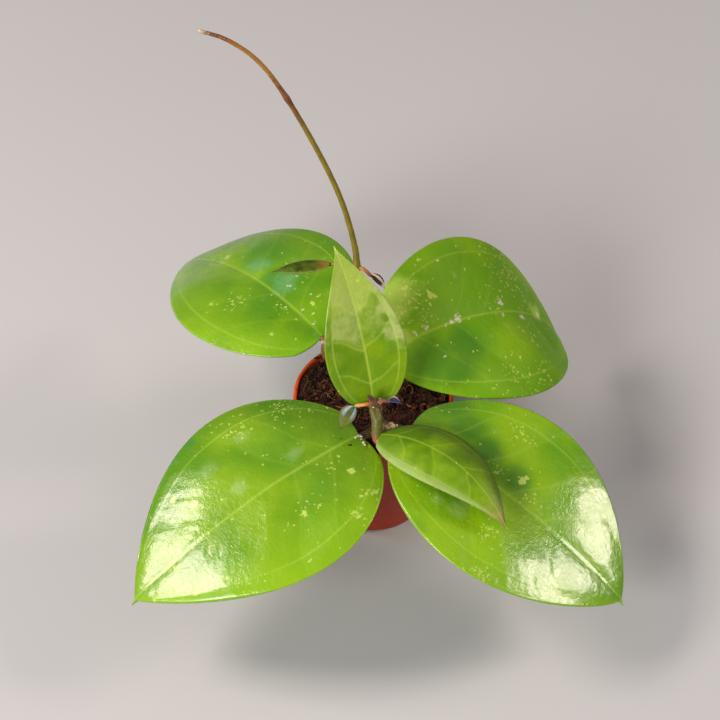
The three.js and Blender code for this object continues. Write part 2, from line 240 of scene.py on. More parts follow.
def skin(name, around, along, bend):
    """A mesh from a grid: bend gives each corner's place in mm and the facts to keep on it."""
    bm = bmesh.new()
    bm.loops.layers.uv.new("UVMap")
    bmesh.ops.create_grid(bm, x_segments=around, y_segments=along, size=0.5, calc_uvs=True)
    mesh = mesh_of(bm, name)
    flat = np.empty(len(mesh.vertices) * 3)
    mesh.vertices.foreach_get("co", flat)
    places, facts = bend(*np.clip(flat.reshape(-1, 3)[:, :2].T + 0.5, 0, 1))
    mesh.vertices.foreach_set("co", (places * MM).ravel())
    for key, values in facts.items():
        kept = mesh.attributes.new(key, "FLOAT_VECTOR", "POINT")
        kept.data.foreach_set("vector", np.stack(values, 1).ravel())
    bm = bmesh.new()
    bm.from_mesh(mesh)
    weld(bm)
    bm.to_mesh(mesh)
    bm.free()
    return mesh


def noise_at(places, size, seed=0.0):
    """Smooth noise from -1 to 1 at each place in mm, with bumps about size mm wide."""
    shift = Vector((seed * 7.3, seed * 3.1, seed * 5.7))
    return np.array([noise.noise(Vector(place) / size + shift) for place in places])


# %% [markdown]
# A blade starts from its midrib, a line that sets out from the stalk at an angle and bends down
# towards the tip. These are the same numbers that shape the solids. Bearing is counted from +X,
# roll and twist tilt the blade about its midrib, fold lifts its halves, and arch curves them down.
# Curl turns the margin down, and cup lifts the left half near the tip, both in mm. Each leaf is a
# row of these numbers, in the order of the heading.

# %% The ten leaves
LEAF_TRAITS = (
    "kind", "bearing", "rise", "droop", "turn", "roll", "twist", "length", "width", "fold", "arch", "lobe",
    "skew", "full", "blunt", "point", "radius", "base", "stalk",
)
LEAVES = {
    "front_left": (
        "large", 215, 2, 35, -1, -4, 0, 104, 76.5, 3, 10, 0.035, 0, 2.9, 2.25, 0.93, 1.7,
        (-5, -26.3, 61.5), [(2.6, -20, 60), (-1.6, -24.2, 60.4)],
    ),
    "front_right": (
        "large", 325.5, -1.5, 39.5, 2, 1, 1, 102, 74, 5, 7.5, 0.035, 0, 2.55, 2.4, 0.85, 1.7,
        (12.9, -23.9, 60.9), [(3.4, -19.8, 59.6), (8, -21.4, 60.6)],
    ),
    "back_left": (
        "large", 129, 8, 56, -4, -7, -1, 106, 68.4, 8, 19.5, 0.035, -0.012, 2.75, 2.03, 0.96, 1.6,
        (-18.9, 13.3, 72.5), [(-8, 8.8, 61), (-17, 10, 64.8)],
    ),
    "back_right": (
        "large", 29, 12, 82, 17, 27, -2, 109, 68.8, 10, 16, 0.035, -0.04, 2.4, 2.5, 0.88, 1.6,
        (5.8, 6.2, 71.8), [(-7.8, 8.6, 61), (0.5, 5.7, 65)],
    ),
    "centre": (
        "small", 107, 64, 12, 18, -3, -1, 59, 30, 9, 4, 0.07, 0, 3, 1.9, 1.1, 1.3,
        (-0.2, -18.1, 72.3), [(0.2, -21.2, 72.2), (0, -19.6, 72.3)],
    ),
    "middle_right": (
        "small", 335, 25, 68, -30, -5.5, 3.5, 62, 27.5, -3, 26, 0.035, 0.06, 2.75, 2.1, 1.1, 2,
        (2.7, -30.9, 66.8), [(0.2, -21.6, 72.2), (1.2, -26.8, 71)],
    ),
    "young_left": (
        "tiny", 227, -27, 18, 2, 0, 0, 9.6, 7, 21, 0, 0, 0, 2.5, 2.3, 1, 0.7,
        (-6.7, -22.5, 72.8), [(-0.2, -21.8, 74), (-3.2, -22.4, 73.9)],
    ),
    "young_right": (
        "tiny", 340, 12, 20, 0, 0, 0, 4.8, 3.4, 34, 0, 0, 0, 2.4, 2, 1, 0.7,
        (5.6, -21.2, 74.8), [(0.2, -21.8, 74), (2.8, -21.7, 75)],
    ),
    "vine_left": (
        "tiny", 197, 9, 4, 6, 13, -16, 22.8, 7.6, 3, 16, 0, 0, 1.85, 2, 1.2, 0.7,
        (-15.9, 22.8, 101.3), [(-6, 21.8, 100.6), (-11, 22, 102.2)],
    ),
    "vine_right": (
        "tiny", 332, -25, 25, 2, 13, -3, 7.4, 3.8, 31, 0, 0, 0, 2.1, 2.25, 1, 0.7,
        (-0.8, 19.4, 98.6), [(-5.8, 21.6, 100.6), (-3.4, 20.4, 100.4)],
    ),
}
LEAVES = {name: dict(zip(LEAF_TRAITS, traits)) for name, traits in LEAVES.items()}
LEAVES["front_left"].update(curl=0.8, cup=1.2)
TIP = {
    "length": 3, "half_width": 1, "most_length": 0.08, "most_half_width": 0.06, "hook": 20, "hook_from": 0.9,
}
LOBE = {"across": 1.5, "start": 0.03, "fade": 4}
MIDRIB_PIECES = 200


def midrib_of(leaf):
    """Gives a function: place, side and upward normal at shares of the length."""

    def direction(share):
        hook = TIP["hook"] * np.clip((share - TIP["hook_from"]) / (1 - TIP["hook_from"]), 0, 1) ** 2
        pitch = np.radians(leaf["rise"] - leaf["droop"] * share - hook)
        heading = np.radians(leaf["bearing"] + leaf["turn"] * share)
        level = np.cos(pitch)
        return np.stack([level * np.cos(heading), level * np.sin(heading), np.sin(pitch)], 1)

    marks = np.linspace(0, 1, MIDRIB_PIECES + 1)
    steps = direction((marks[1:] + marks[:-1]) / 2) * leaf["length"] / MIDRIB_PIECES
    places = np.array(leaf["base"]) + np.vstack([np.zeros(3), np.cumsum(steps, 0)])

    def at(share):
        inside = np.clip(share, 0, 1)
        ahead = direction(inside)
        place = np.stack([np.interp(inside, marks, places[:, axis]) for axis in range(3)], 1)
        place = place + ahead * ((share - inside) * leaf["length"])[:, None]
        heading = np.radians(leaf["bearing"] + leaf["turn"] * inside)
        left = np.stack([-np.sin(heading), np.cos(heading), np.zeros_like(heading)], 1)
        above = np.cross(ahead, left)
        roll = np.radians(leaf["roll"] + leaf["twist"] * inside)[:, None]
        side = left * np.cos(roll) + above * np.sin(roll)
        normal = above * np.cos(roll) - left * np.sin(roll)
        return place, side, normal

    return at


def half_width_of(leaf):
    """Gives a function: the half width in mm at shares of the length, with the drip tip."""

    def raw(share):
        return np.sqrt(1 - (1 - share) ** leaf["full"]) * (1 - share ** leaf["blunt"]) ** leaf["point"]

    widest = raw(np.linspace(0, 1, MIDRIB_PIECES + 1)).max()
    tip_share = min(TIP["length"] / leaf["length"], TIP["most_length"])
    tip_half = min(TIP["half_width"], TIP["most_half_width"] * leaf["width"])

    def half(share):
        drip = tip_half * np.minimum(1, (1 - share) / tip_share) * share
        body = raw(np.clip(share / (1 - tip_share), 0, 1)) / widest
        return body * leaf["width"] / 2 + drip

    return half


wide = 2 * half_width_of(LEAVES["front_left"])(np.array([0.4]))[0]
print("The front left leaf is", round(wide, 1), "mm wide at 40 % of its length")

# %% [markdown]
# Hoya leaves have three long veins from base to tip, and cross veins that leave the midrib at an
# angle and run into the outer ones. Each vein is a fine pale ridge in a shallow valley. The blade is
# pleated a little, with a crease on each cross vein, which breaks a softbox's reflection into
# patches with sharp borders. The relief is real geometry. How strong a vein is, and a tone for each
# field between the veins, are kept on the corners for the colour.

# %% Veins and relief
EDGE_CROWDING = 0.55  # 0 spreads the corners evenly over the blade, and 1 crowds them to the margin


def crowded(even):
    return (1 - EDGE_CROWDING) * even + EDGE_CROWDING * np.sin(np.pi * even / 2)


OUTER_VEIN = crowded(24 / 35)  # its share of the half width, on a line of corners of every blade

# Leave is where cross veins leave the midrib, and lean how far they run on towards the tip. Rib,
# swell, pleat, keel and waves are heights in mm. Fine and thick are the widths of the veins and the
# thickness, against a large leaf's. Corners are counted round the blade and along it.
KINDS = {
    "large": dict(
        leave=(0.1, 0.26, 0.42, 0.6), lean=0.22, rib=0.14, swell=0.1, pleat=0.5, keel=1.3, fine=1, thick=1,
        waves=(0.5, 0.05, 0.02), corners=(280, 200), slot="leaf_mature",
    ),
    "small": dict(
        leave=(0.12, 0.34, 0.58), lean=0.16, rib=0.1, swell=0.08, pleat=0.12, keel=0.8, fine=0.75, thick=0.9,
        waves=(0.35, 0.025, 0.014), corners=(210, 130), slot="leaf_new",
    ),
    "tiny": dict(
        leave=(), lean=0, rib=0.03, swell=0.03, pleat=0, keel=0.15, fine=0.35, thick=0.6,
        waves=(0.05, 0.02, 0.01), corners=(70, 48), slot="leaf_bud",
    ),
}
VEIN_WIDTHS = {"midrib": 0.42, "outer": 0.33, "cross": 0.45}  # in mm, on a large leaf
VALLEY_WIDTHS = {"midrib": 2, "outer": 3}
PLEAT_RISE = ([0, 0.35, OUTER_VEIN, 1], [0, 1, 1, 0.3])  # from the midrib to the margin
CREASES = {"before": -0.3, "last": 0.92, "beyond": 1.1, "stray": 0.03, "bend": 0.008}
BORDER = (-0.02, 0, 0.02)  # a field's border is the mean of three, so that its tone changes softly
OUTER_BAND = 100  # the number of the band outside the outer vein
PAINTED_SHEEN_FADE = {"from": 0.18, "over": 0.3}  # shares of the length, as the next one's are
CUP = {"from": 0.55, "over": 0.15}


def ridge(distance, width):
    """A bump of height 1 over a line, that falls off over width mm."""
    return np.exp(-((distance / width) ** 2))


def ramp_up(value, start, over):
    """0 up to start, 1 from start + over on, and straight in between."""
    return np.clip((value - start) / over, 0, 1)


def vein_relief(leaf, across, share, half, seed, painted_sheen):
    """The relief of the upper face in mm, the strength of long and cross veins, and each field's own tone."""
    spec, draw = KINDS[leaf["kind"]], random.Random(seed)
    side, out = np.where(across < 0, -1, 1), np.abs(across)
    inner = out < OUTER_VEIN
    fade = np.sin(np.pi * np.clip(share, 0, 1)) ** 0.5
    from_midrib, from_outer = out * half, np.abs(out - OUTER_VEIN) * half
    cross_vein, pleats = np.zeros_like(share), np.zeros_like(share)
    shifts = np.array(BORDER)[:, None]
    field = np.tile(side * np.where(inner, 1, OUTER_BAND), (len(BORDER), 1))
    for one_side in (-1, 1):
        here = side == one_side
        slant = share - spec["lean"] * out - CREASES["bend"] * np.sin(9 * out + 6 * draw.random())
        creases = [leave + draw.uniform(-CREASES["stray"], CREASES["stray"]) for leave in spec["leave"]]
        knots = [CREASES["before"], *creases, CREASES["last"], CREASES["beyond"]]
        levels = [(-1) ** (number + 1) * draw.uniform(0.6, 1) for number in range(len(knots))]
        pleats = pleats + here * np.interp(slant, knots, levels)
        for crease in creases:
            away = np.abs(slant - crease) * leaf["length"] * 0.8
            drawn = (here & inner) * (1 - 0.5 * out)
            cross_vein = np.maximum(cross_vein, drawn * ridge(away, VEIN_WIDTHS["cross"] * spec["fine"]))
            field = field + one_side * (here & inner) * (slant + shifts > crease)

    # each field gets its own tone: at random on most leaves, and on the centre leaf a given painted sheen that
    # fades in from the base
    tone, fading = 0, ramp_up(share, PAINTED_SHEEN_FADE["from"], PAINTED_SHEEN_FADE["over"])
    for number in np.unique(field):
        own = draw.random()
        tone = tone + (field == number) * (painted_sheen.get(int(number), 0) * fading if painted_sheen else own)
    midrib = ridge(from_midrib, VEIN_WIDTHS["midrib"] * spec["fine"] * (1.35 - 0.7 * share))
    midrib = midrib * np.clip(0.4 + 4 * share, 0, 1)
    outer_vein = ridge(from_outer, VEIN_WIDTHS["outer"] * spec["fine"]) * fade
    outer_vein = outer_vein * np.clip((0.9 - share) / 0.5, 0, 1)
    valleys = ridge(from_midrib, VALLEY_WIDTHS["midrib"] * spec["fine"])
    valleys = valleys + ridge(from_outer, VALLEY_WIDTHS["outer"] * spec["fine"]) * (1 - share**3)
    height = spec["rib"] * (midrib * (1.3 - share) + 0.35 * outer_vein + 0.15 * cross_vein)
    height = height - spec["swell"] * valleys * fade
    height = height + spec["pleat"] * pleats * np.interp(out, *PLEAT_RISE) * fade
    height = height - leaf.get("curl", 0) * ramp_up(out, OUTER_VEIN, 1 - OUTER_VEIN) ** 2 * fade
    cupped = (side > 0) * np.clip(out / OUTER_VEIN, 0, 1) * ramp_up(share, CUP["from"], CUP["over"])
    height = height + leaf.get("cup", 0) * cupped * fade
    return height, np.maximum(midrib, 0.85 * outer_vein), cross_vein, tone.mean(axis=0)


print("A large leaf has", 2 * len(KINDS["large"]["leave"]), "cross veins")

# %% [markdown]
# Each leaf has its own marks: cream spots, swarms of fine flecks, whitish blooms where water dried,
# which carry a painted sheen as well, cooler green zones, which are painted shade and painted sheen,
# and on the back right leaf crumbs of dust, most of them in the midrib's groove. A mark is two places
# in mm, across from the midrib and along it, and a radius. Whole fields of the centre leaf are
# painted paler, a painted sheen. Fields count up from 1 at the base, with a minus on the other half,
# and 100 is the band outside the outer vein.

# %% Marks on the leaves
MARKS = {
    "front_left": dict(
        spots=[
            (12.1, 12.7, 1.4), (16.5, 35.9, 1.2), (-12.7, 64.1, 1.5), (-20, 68.5, 1.2), (23.9, 11.2, 0.8),
            (23, 16.7, 0.7), (28.9, 21.8, 0.9), (16.5, 31.3, 0.7), (16.8, 42.7, 0.5), (1.7, 83.2, 0.8),
            (18.8, 71.5, 0.7), (-33.7, 42.7, 0.5),
        ],
        flecks=[
            (-26.7, 18.2, 5), (23.4, 12.7, 3), (28.4, 21.8, 3), (16.3, 32.9, 3), (-14.3, 65.3, 3),
            (-28.2, 35.9, 4), (5.5, 17, 3),
        ],
        # blooms here are dried water with a painted sheen, and the cool zones a painted reflection along the
        # upper margin
        bloom_and_painted_sheen=[(-24.8, 35.9, 3), (-6.1, 23.8, 3.2), (-6.9, 47.9, 3.5), (-20.4, 53.6, 4)],
        cool_painted_shade_and_sheen=[(-36.5, 52, 3.2), (-35.5, 60, 3.6), (-32, 69, 3.6), (-27, 78, 3.4)],
    ),
    "front_right": dict(
        spots=[
            (7.7, 44.2, 1.6), (9.8, 45, 1.2), (-17.5, 45.4, 0.8), (-20.2, 46.6, 0.8), (4.5, 35.2, 0.6),
            (-24.9, 56.6, 0.4), (-19.6, 25.4, 0.6),
        ],
        flecks=[
            (23.8, 33.7, 4), (-19.3, 46.6, 3), (5.4, 51, 3), (5.4, 34.9, 2.5), (-36, 51.8, 4), (-36.6, 48.2, 2),
        ],
        # blooms here are dried water with a painted sheen, and the cool zones mostly a painted shadow of the
        # middle right leaf
        bloom_and_painted_sheen=[(-18.8, 32.6, 5), (-20, 25.7, 3)],
        cool_painted_shade_and_sheen=[(20, 9, 8), (14, 17, 8), (10, 27, 6.5), (7, 43, 6.5), (-34, 26, 5)],
    ),
    "back_left": dict(
        spots=[
            (-3.5, 68.6, 1.1), (12.3, 35, 0.9), (14.6, 37, 0.4), (20.3, 44.7, 0.9), (14.3, 58.4, 0.4),
            (-6.2, 14.1, 0.9), (-10.2, 15.8, 0.7), (-10.9, 29.7, 0.7), (3.8, 23.2, 0.4), (2.2, 20.2, 0.4),
        ],
        flecks=[(13.2, 37.8, 4), (-11.4, 28.9, 3), (3, 21.8, 3), (0, 70.2, 4)],
        # blooms and cool zones here are a bluish painted sheen
        bloom_and_painted_sheen=[(-5.5, 47.6, 6), (-5, 30, 7), (-13.1, 63.7, 3)],
        cool_painted_shade_and_sheen=[(-12, 52, 12), (-7, 34, 9)],
        dust=[(-5.6, 27.8, 0.9), (-1.6, 14, 0.8), (-3.2, 10.2, 0.7), (-1.2, 6.6, 0.9), (-8.5, 18, 0.6)],
    ),
    "back_right": dict(
        spots=[
            (12.4, 24.6, 1.4), (11.1, 25.7, 1), (18.7, 18.1, 1.2), (27.5, 27.9, 0.8), (-30.8, 62.2, 0.8),
            (8.5, 55.8, 0.6), (-27.8, 51.1, 0.6), (-20.4, 49.8, 0.4),
        ],
        flecks=[
            (24.6, 63.4, 8), (15.9, 65.1, 8), (9.2, 66.8, 6), (4.9, 51.9, 5), (-11.1, 64.3, 5),
            (-27.4, 46.4, 7), (-28.6, 59.6, 5), (12.2, 19.4, 7), (11, 13.3, 5),
        ],
        dust=[
            (0.5, 30.9, 2), (0.2, 27.9, 1.5), (1.6, 17.2, 1.4), (0.9, 12.2, 0.8), (-0.3, 24.9, 0.8),
            (3.5, 54.1, 2), (-1.2, 52.8, 1.4), (-2.4, 64.3, 1.8), (29.4, 45.1, 0.8), (28.6, 56.6, 0.8),
            (24.5, 34, 0.7), (-11.5, 18.1, 0.8), (-23.2, 66, 0.8), (1, 78.9, 2),
        ],
        # blooms here are mostly a painted sheen, brightest by the centre leaf, and the cool zones a painted
        # shadow of the centre leaf
        bloom_and_painted_sheen=[(2, 77.7, 5), (14, 8, 9), (19, 15, 8), (3.2, 6.7, 5)],
        cool_painted_shade_and_sheen=[(-11, 14, 12), (-10, 27, 10), (-17, 20, 10)],
    ),
    # the blooms here are a painted sheen on the paler upper half
    "centre": dict(bloom_and_painted_sheen=[(6, 42, 5), (-12, 23, 4.5), (-11, 32, 4), (-9, 40, 3)]),
}
# whole fields of the centre leaf are painted paler, a painted sheen
PAINTED_SHEEN_FIELDS = {"centre": {3: 0.75, 4: 1, -3: 0.4, -4: 0.8, -100: 0.8, 100: 0.3}}
print("The leaves carry", sum(len(found) for leaf in MARKS.values() for found in leaf.values()), "marks")

# %% [markdown]
# The blade's skin runs over the upper face from the left margin to the right one, and back over
# the lower face. Its corners stand closer at the margin, where the edge is rounded off. Fine
# wrinkles run out from the midrib, and slow ones make the blade wave a little.

# %% A blade with its thickness
WAVE_LENGTHS = {"slow": 26, "wrinkle": 3.4, "fine": 1.7}  # in mm
THICK = {"middle": 0.65, "margin": 0.4, "round": 0.7}
KEEL_WIDTH = 1.5
NO_SPOT = 9  # mm to the nearest spot where a leaf has none


def near(marks, out, along):
    """How close each corner lies to the nearest mark: 1 on it, and fading out round it."""
    away = [np.hypot(out - x, along - y) / radius for x, y, radius in marks]
    return np.exp(-(np.min(away, axis=0) ** 2)) if marks else 0 * out


def spot_edge(marks, out, along):
    """The distance in mm to the edge of the nearest spot, negative inside it."""
    away = [np.hypot(out - x, along - y) - radius for x, y, radius in marks]
    return np.min([NO_SPOT + 0 * out, *away], axis=0)


def blade_bend(leaf, seed, marks, painted_sheen):
    midrib, half_at = midrib_of(leaf), half_width_of(leaf)
    spec = KINDS[leaf["kind"]]

    def bend(around, along):
        upper = around <= 0.5
        across = crowded(np.where(upper, 4 * around - 1, 3 - 4 * around))
        share = 0.5 * along + 0.5 * np.sin(np.pi * along / 2) ** 2
        half = half_at(share) * (1 + leaf["skew"] * np.sign(across))
        started = np.sqrt(np.minimum(1, share / LOBE["start"]))
        reach = np.abs(across) ** LOBE["across"] * started * (1 - share) ** LOBE["fade"]
        place, side, normal = midrib(share - leaf["lobe"] * reach)
        lean = np.radians(leaf["fold"] - leaf["arch"] * np.abs(across) / 2)
        out, up = across * half * np.cos(lean), np.abs(across) * half * np.sin(lean)
        place = place + side * out[:, None] + normal * up[:, None]

        down = share * leaf["length"]
        inward = np.clip((1 - np.abs(across)) * half / THICK["round"], 0, 1)
        rounding = np.sqrt(1 - (1 - inward) ** 2)
        thick = THICK["middle"] + (THICK["margin"] - THICK["middle"]) * np.abs(across)
        flesh = thick * spec["thick"] * rounding
        keel = spec["keel"] * (1 - share) * ridge(out, KEEL_WIDTH) * inward
        relief, long_vein, cross_vein, tone = vein_relief(leaf, across, share, half, seed, painted_sheen)
        slow, folds, fine = spec["waves"]
        flat = np.stack([out, down, np.zeros_like(out)], 1)
        slant = np.stack([0.6 * np.abs(out), down - 0.7 * np.abs(out), np.sign(out)], 1)
        wave = slow * noise_at(flat, WAVE_LENGTHS["slow"], seed) * inward
        wrinkle = folds * noise_at(slant, WAVE_LENGTHS["wrinkle"], seed + 5)
        wrinkle = wrinkle + fine * noise_at(flat, WAVE_LENGTHS["fine"], seed + 6)
        height = np.where(upper, flesh + (relief + wrinkle * inward) * inward, -(flesh + keel)) + wave
        # blooms carry a painted sheen as well as dried water, and the cool zones are painted shade and sheen
        flecks, bloom_and_painted_sheen, cool_painted_shade_and_sheen, dust = (
            near(marks.get(mark, []), out, down) for mark in ("flecks", "bloom_and_painted_sheen", "cool_painted_shade_and_sheen", "dust")
        )
        facts = {
            "leaf_mm": (out, down, np.where(upper, 1.0, -1.0)),
            "veins": (long_vein, cross_vein, 1 - inward * 0.999),
            "blade": (across, share, tone),
            "marks": (spot_edge(marks.get("spots", []), out, down), flecks, bloom_and_painted_sheen),
            "zones": (cool_painted_shade_and_sheen, dust, 0 * out),
        }
        return place + normal * height[:, None], facts

    return bend


print("A blade is", THICK["middle"], "mm thick in the middle and", THICK["margin"], "mm at the margin")

# %% [markdown]
# The leaf is a fleshy blade under a hard, clear wax. The wax gives it its gloss. Under it the green
# isn't even: it grows in soft patches, some yellower and some cooler. Light and shade are painted
# on it too: a painted sheen on blooms and on fields of the centre leaf, painted shadows and
# reflections in cooler zones, and bands darker at the base and lighter where the light falls. Over
# that lie pale veins, cream flecks in clusters, and traces of dried water.
# So the colour is built as coats, each laid over the last by its own factor. Each pattern is laid
# out in millimetres, along the blade where it follows the veins, and in space where it doesn't.

# %% Waxy leaf material
FLECKS = ((1.1, 0.11, 0.0012), (0.65, 0.34, 0.005))  # size in mm, and their share in a swarm and elsewhere
WEAR_SIZE = 8  # in mm, as the sizes of all patterns are
BAND_EDGE = 0.16  # how far a band's ends are torn, as a share of the blade


def leaf_material(
    name, deep, light, cool_painted_shade_and_sheen, patch=30, bands=(), flecks=1.0, milk_and_painted_sheen=("#a8c486", 0.28), cross=0.14, midrib=0.5,
    vein="#a8c848", fleck="#bfd268", under="#7f9c46", rough=(0.2, 0.34), crumple=1.6, coat=0.4, shine=0.5,
    tone=("#9cc444", 0.1),
):
    """Bands are tuples: an axis of the blade, the two ends of a fade along it, a colour and its most."""
    gloss = dict(Coat_Weight=coat, Coat_Roughness=0.1, Specular_IOR_Level=shine)
    material, tree, shader = new_material(name, 0.3, 1.46, **gloss)
    space = put(tree, "TexCoord", out="Object")
    flat, *stored = (
        put(tree, "Attribute", out="Vector", attribute_name=key)
        for key in ("leaf_mm", "veins", "blade", "marks", "zones")
    )
    veins, blade, marks, zones = (put(tree, "SeparateXYZ", [vector]).node.outputs for vector in stored)

    # patches of growth, cooler ones two thirds as wide, and a mottle of a sixth. The last four
    # noises tear the edges of zones and spots, and make dust and stains of dried water
    patterns = {
        "wide": (patch, 2, 0.5), "cooler": (patch * 0.67, 2, 0.5), "mottle": (patch / 6, 2, 0.5),
        "ragged": (patch / 5, 3, 0.5), "torn": (1.2, 2, 0.5), "fine": (0.9, 3, 0.5), "stain": (6, 5, 0.65),
    }
    wide, cooler, mottle, ragged, torn, fine, stain = (
        put(tree, "TexNoise", {"Vector": space, "Scale": PER_METRE / size, "Detail": more, "Roughness": harsh})
        for size, more, harsh in patterns.values()
    )
    fades = [(wide, 0.36, 0.64, light, 1), (cooler, 0.58, 0.78, cool_painted_shade_and_sheen, 0.22), (mottle, 0.4, 0.75, deep, 0.25)]

    # fields, with the centre leaf's painted sheen, cooler zones of painted shade and sheen, dried water with a
    # painted sheen, and bands, many of them painted light and shade, all with ragged edges
    edged = [(blade["Z"], 1, 0.6, 1.6, *tone), (zones["X"], 0.5, 0.35, 1.15, cool_painted_shade_and_sheen, 0.7)]
    edged += [(marks["Z"], 1.4, 0.9, 1.7, *milk_and_painted_sheen)]
    for axis, low, high, code, most in bands:
        edged.append((blade[axis], BAND_EDGE, low + BAND_EDGE / 2, high + BAND_EDGE / 2, code, most))
    for zone, reach, *ends in edged:
        fades.append((put(tree, "Math", (ragged, reach, zone), operation="MULTIPLY_ADD"), *ends))
    coats = [
        (put(tree, "MapRange", (strength, low, high, 0, most), interpolation_type="SMOOTHSTEP"), code)
        for strength, low, high, code, most in fades
    ]
    for strength, most in ((veins["X"], midrib), (veins["Y"], cross)):
        coats.append((put(tree, "Math", (strength, most), operation="MULTIPLY"), vein))

    # cream spots with broken edges. Flecks are odd cells of a crazed pattern, cream where a chance
    # number falls under a share that rises in the swarms
    edge = put(tree, "Math", (torn, 3.2, marks["X"]), operation="MULTIPLY_ADD")
    coats.append((put(tree, "MapRange", (edge, 1.7, 1.3, 0, 0.75)), fleck))
    swarm = put(tree, "Math", (marks["Y"], ragged), operation="MULTIPLY")
    for size, most, few in FLECKS if flecks else ():
        shaken = put(tree, "TexNoise", {"Vector": space, "Scale": 2.5 * PER_METRE / size}, out="Color")
        where = put(tree, "VectorMath", (shaken, [0.7 * size * MM] * 3, space), operation="MULTIPLY_ADD")
        cell = put(tree, "TexVoronoi", {"Vector": where, "Scale": PER_METRE / size}, out="Color")
        limit = put(tree, "MapRange", (swarm, 0, 1, few * flecks, most * flecks))
        here = put(tree, "Math", (limit, put(tree, "SeparateColor", [cell])), operation="GREATER_THAN")
        coats.append((put(tree, "Math", (here, 0.6), operation="MULTIPLY"), fleck))

    # dried water leaves a faint bloom with a fine grain, and dust lies in crumbs. Then come the margin
    # and the underside
    heap = put(tree, "Math", (zones["Y"], 0.45, fine), operation="MULTIPLY_ADD")
    side = put(tree, "SeparateXYZ", [flat], out="Z")
    for strength, low, high, most, code in (
        (stain, 0.6, 0.78, 0.14, "#b0c488"), (heap, 0.74, 0.9, 0.75, "#e4d4c4"),
        (veins["Z"], 0.3, 1, 0.4, deep), (side, 0.2, -0.2, 1, under),
    ):
        coats.append((put(tree, "MapRange", (strength, low, high, 0, most)), code))

    # the wax is crumpled, and duller in patches
    folds = put(tree, "TexNoise", {"Vector": flat, "Scale": 1 / crumple, "Detail": 3, "Roughness": 0.55})
    bump = put(tree, "Bump", {"Height": folds, "Strength": 0.5, "Distance": 0.25 * crumple * MM})
    worn = put(tree, "TexNoise", {"Vector": flat, "Scale": 1 / WEAR_SIZE, "Detail": 3})
    dull = put(tree, "MapRange", (worn, 0.35, 0.7, *rough))
    paint(tree, shader, linear(deep), coats, Normal=bump, Roughness=dull)
    return material


LEAF_WAX = {
    "front_left": leaf_material(
        "waxy_leaf_front_left", "#568a0a", "#7aa20f", "#3c8638",
        # bands: painted shade at the base and on one half, and painted light on the other half
        bands=[
            ("Y", 0.36, 0.04, "#41700a", 0.6), ("X", -0.4, -1, "#4a7c0e", 0.3),
            ("X", 0.2, 0.9, "#88b414", 0.65),
        ],
    ),
    "front_right": leaf_material(
        "waxy_leaf_front_right", "#629809", "#82ac10", "#3a741c", cross=0.24,
        # bands: painted shade at the base, and painted light on one half
        bands=[("Y", 0.15, 0, "#3f7420", 0.5), ("X", -0.2, -0.9, "#8ab616", 0.5)],
    ),
    "back_left": leaf_material(
        # bluish blooms and cool zones are a painted sheen; bands: painted shade on one half, and painted light
        # on the other
        "waxy_leaf_back_left", "#548a0c", "#7ca80f", "#3c8024", coat=0.15, milk_and_painted_sheen=("#78b080", 0.45), flecks=0.6,
        bands=[("X", 0.1, -0.9, "#4a7e10", 0.5), ("X", 0.2, 0.8, "#88b41a", 0.4)],
    ),
    "back_right": leaf_material(
        "waxy_leaf_back_right", "#669c06", "#80ae08", "#2a681c", flecks=0.6, fleck="#c8d468",
        # its blooms are mostly a painted sheen
        rough=(0.46, 0.62), coat=0, shine=0.16, milk_and_painted_sheen=("#acca54", 0.8),
    ),
    "centre": leaf_material(
        "waxy_leaf_centre", "#5c8608", "#76980a", "#64900f", patch=14, flecks=0.2, cross=0.4, midrib=0.65,
        # the pale fields, the blooms and the paler upper band are a painted sheen
        milk_and_painted_sheen=("#b0bc74", 0.7), tone=("#acbc6c", 0.85), bands=[("Y", 0.4, 0.8, "#9cb440", 0.7)],
        vein="#b4ce54", under="#98ac58", coat=0.1,
    ),
    "middle_right": leaf_material(
        "waxy_leaf_middle_right", "#4e7406", "#729808", "#5a800a", patch=14, flecks=0.2, cross=0.4,
        bands=[
            # the pale band along the lower margin is a painted reflection; the upper half is darker, and the
            # tip brown
            ("X", 0.15, 0.95, "#3a520a", 0.75), ("X", -0.62, -1.1, "#a4b870", 0.8),
            ("Y", 0.76, 0.93, "#9c9450", 0.75), ("Y", 0.9, 0.98, "#7e5440", 0.85),
        ],
        vein="#9cbc36", under="#93a650", coat=0, rough=(0.34, 0.5), shine=0.3,
    ),
}
print("Made", len(LEAF_WAX), "leaf materials")

# %% [markdown]
# The youngest leaves aren't green yet. The two at the front shoot still fold along the midrib. The
# left one carries a painted bluish reflection in streaks on each half, and the right one a painted
# blue sheen and a painted white highlight. On the vine one is dark olive, with a yellow-brown base
# and painted highlights along its margins, and the other is brown, with a painted pink reflection
# in a stripe and a painted white glint at its end.

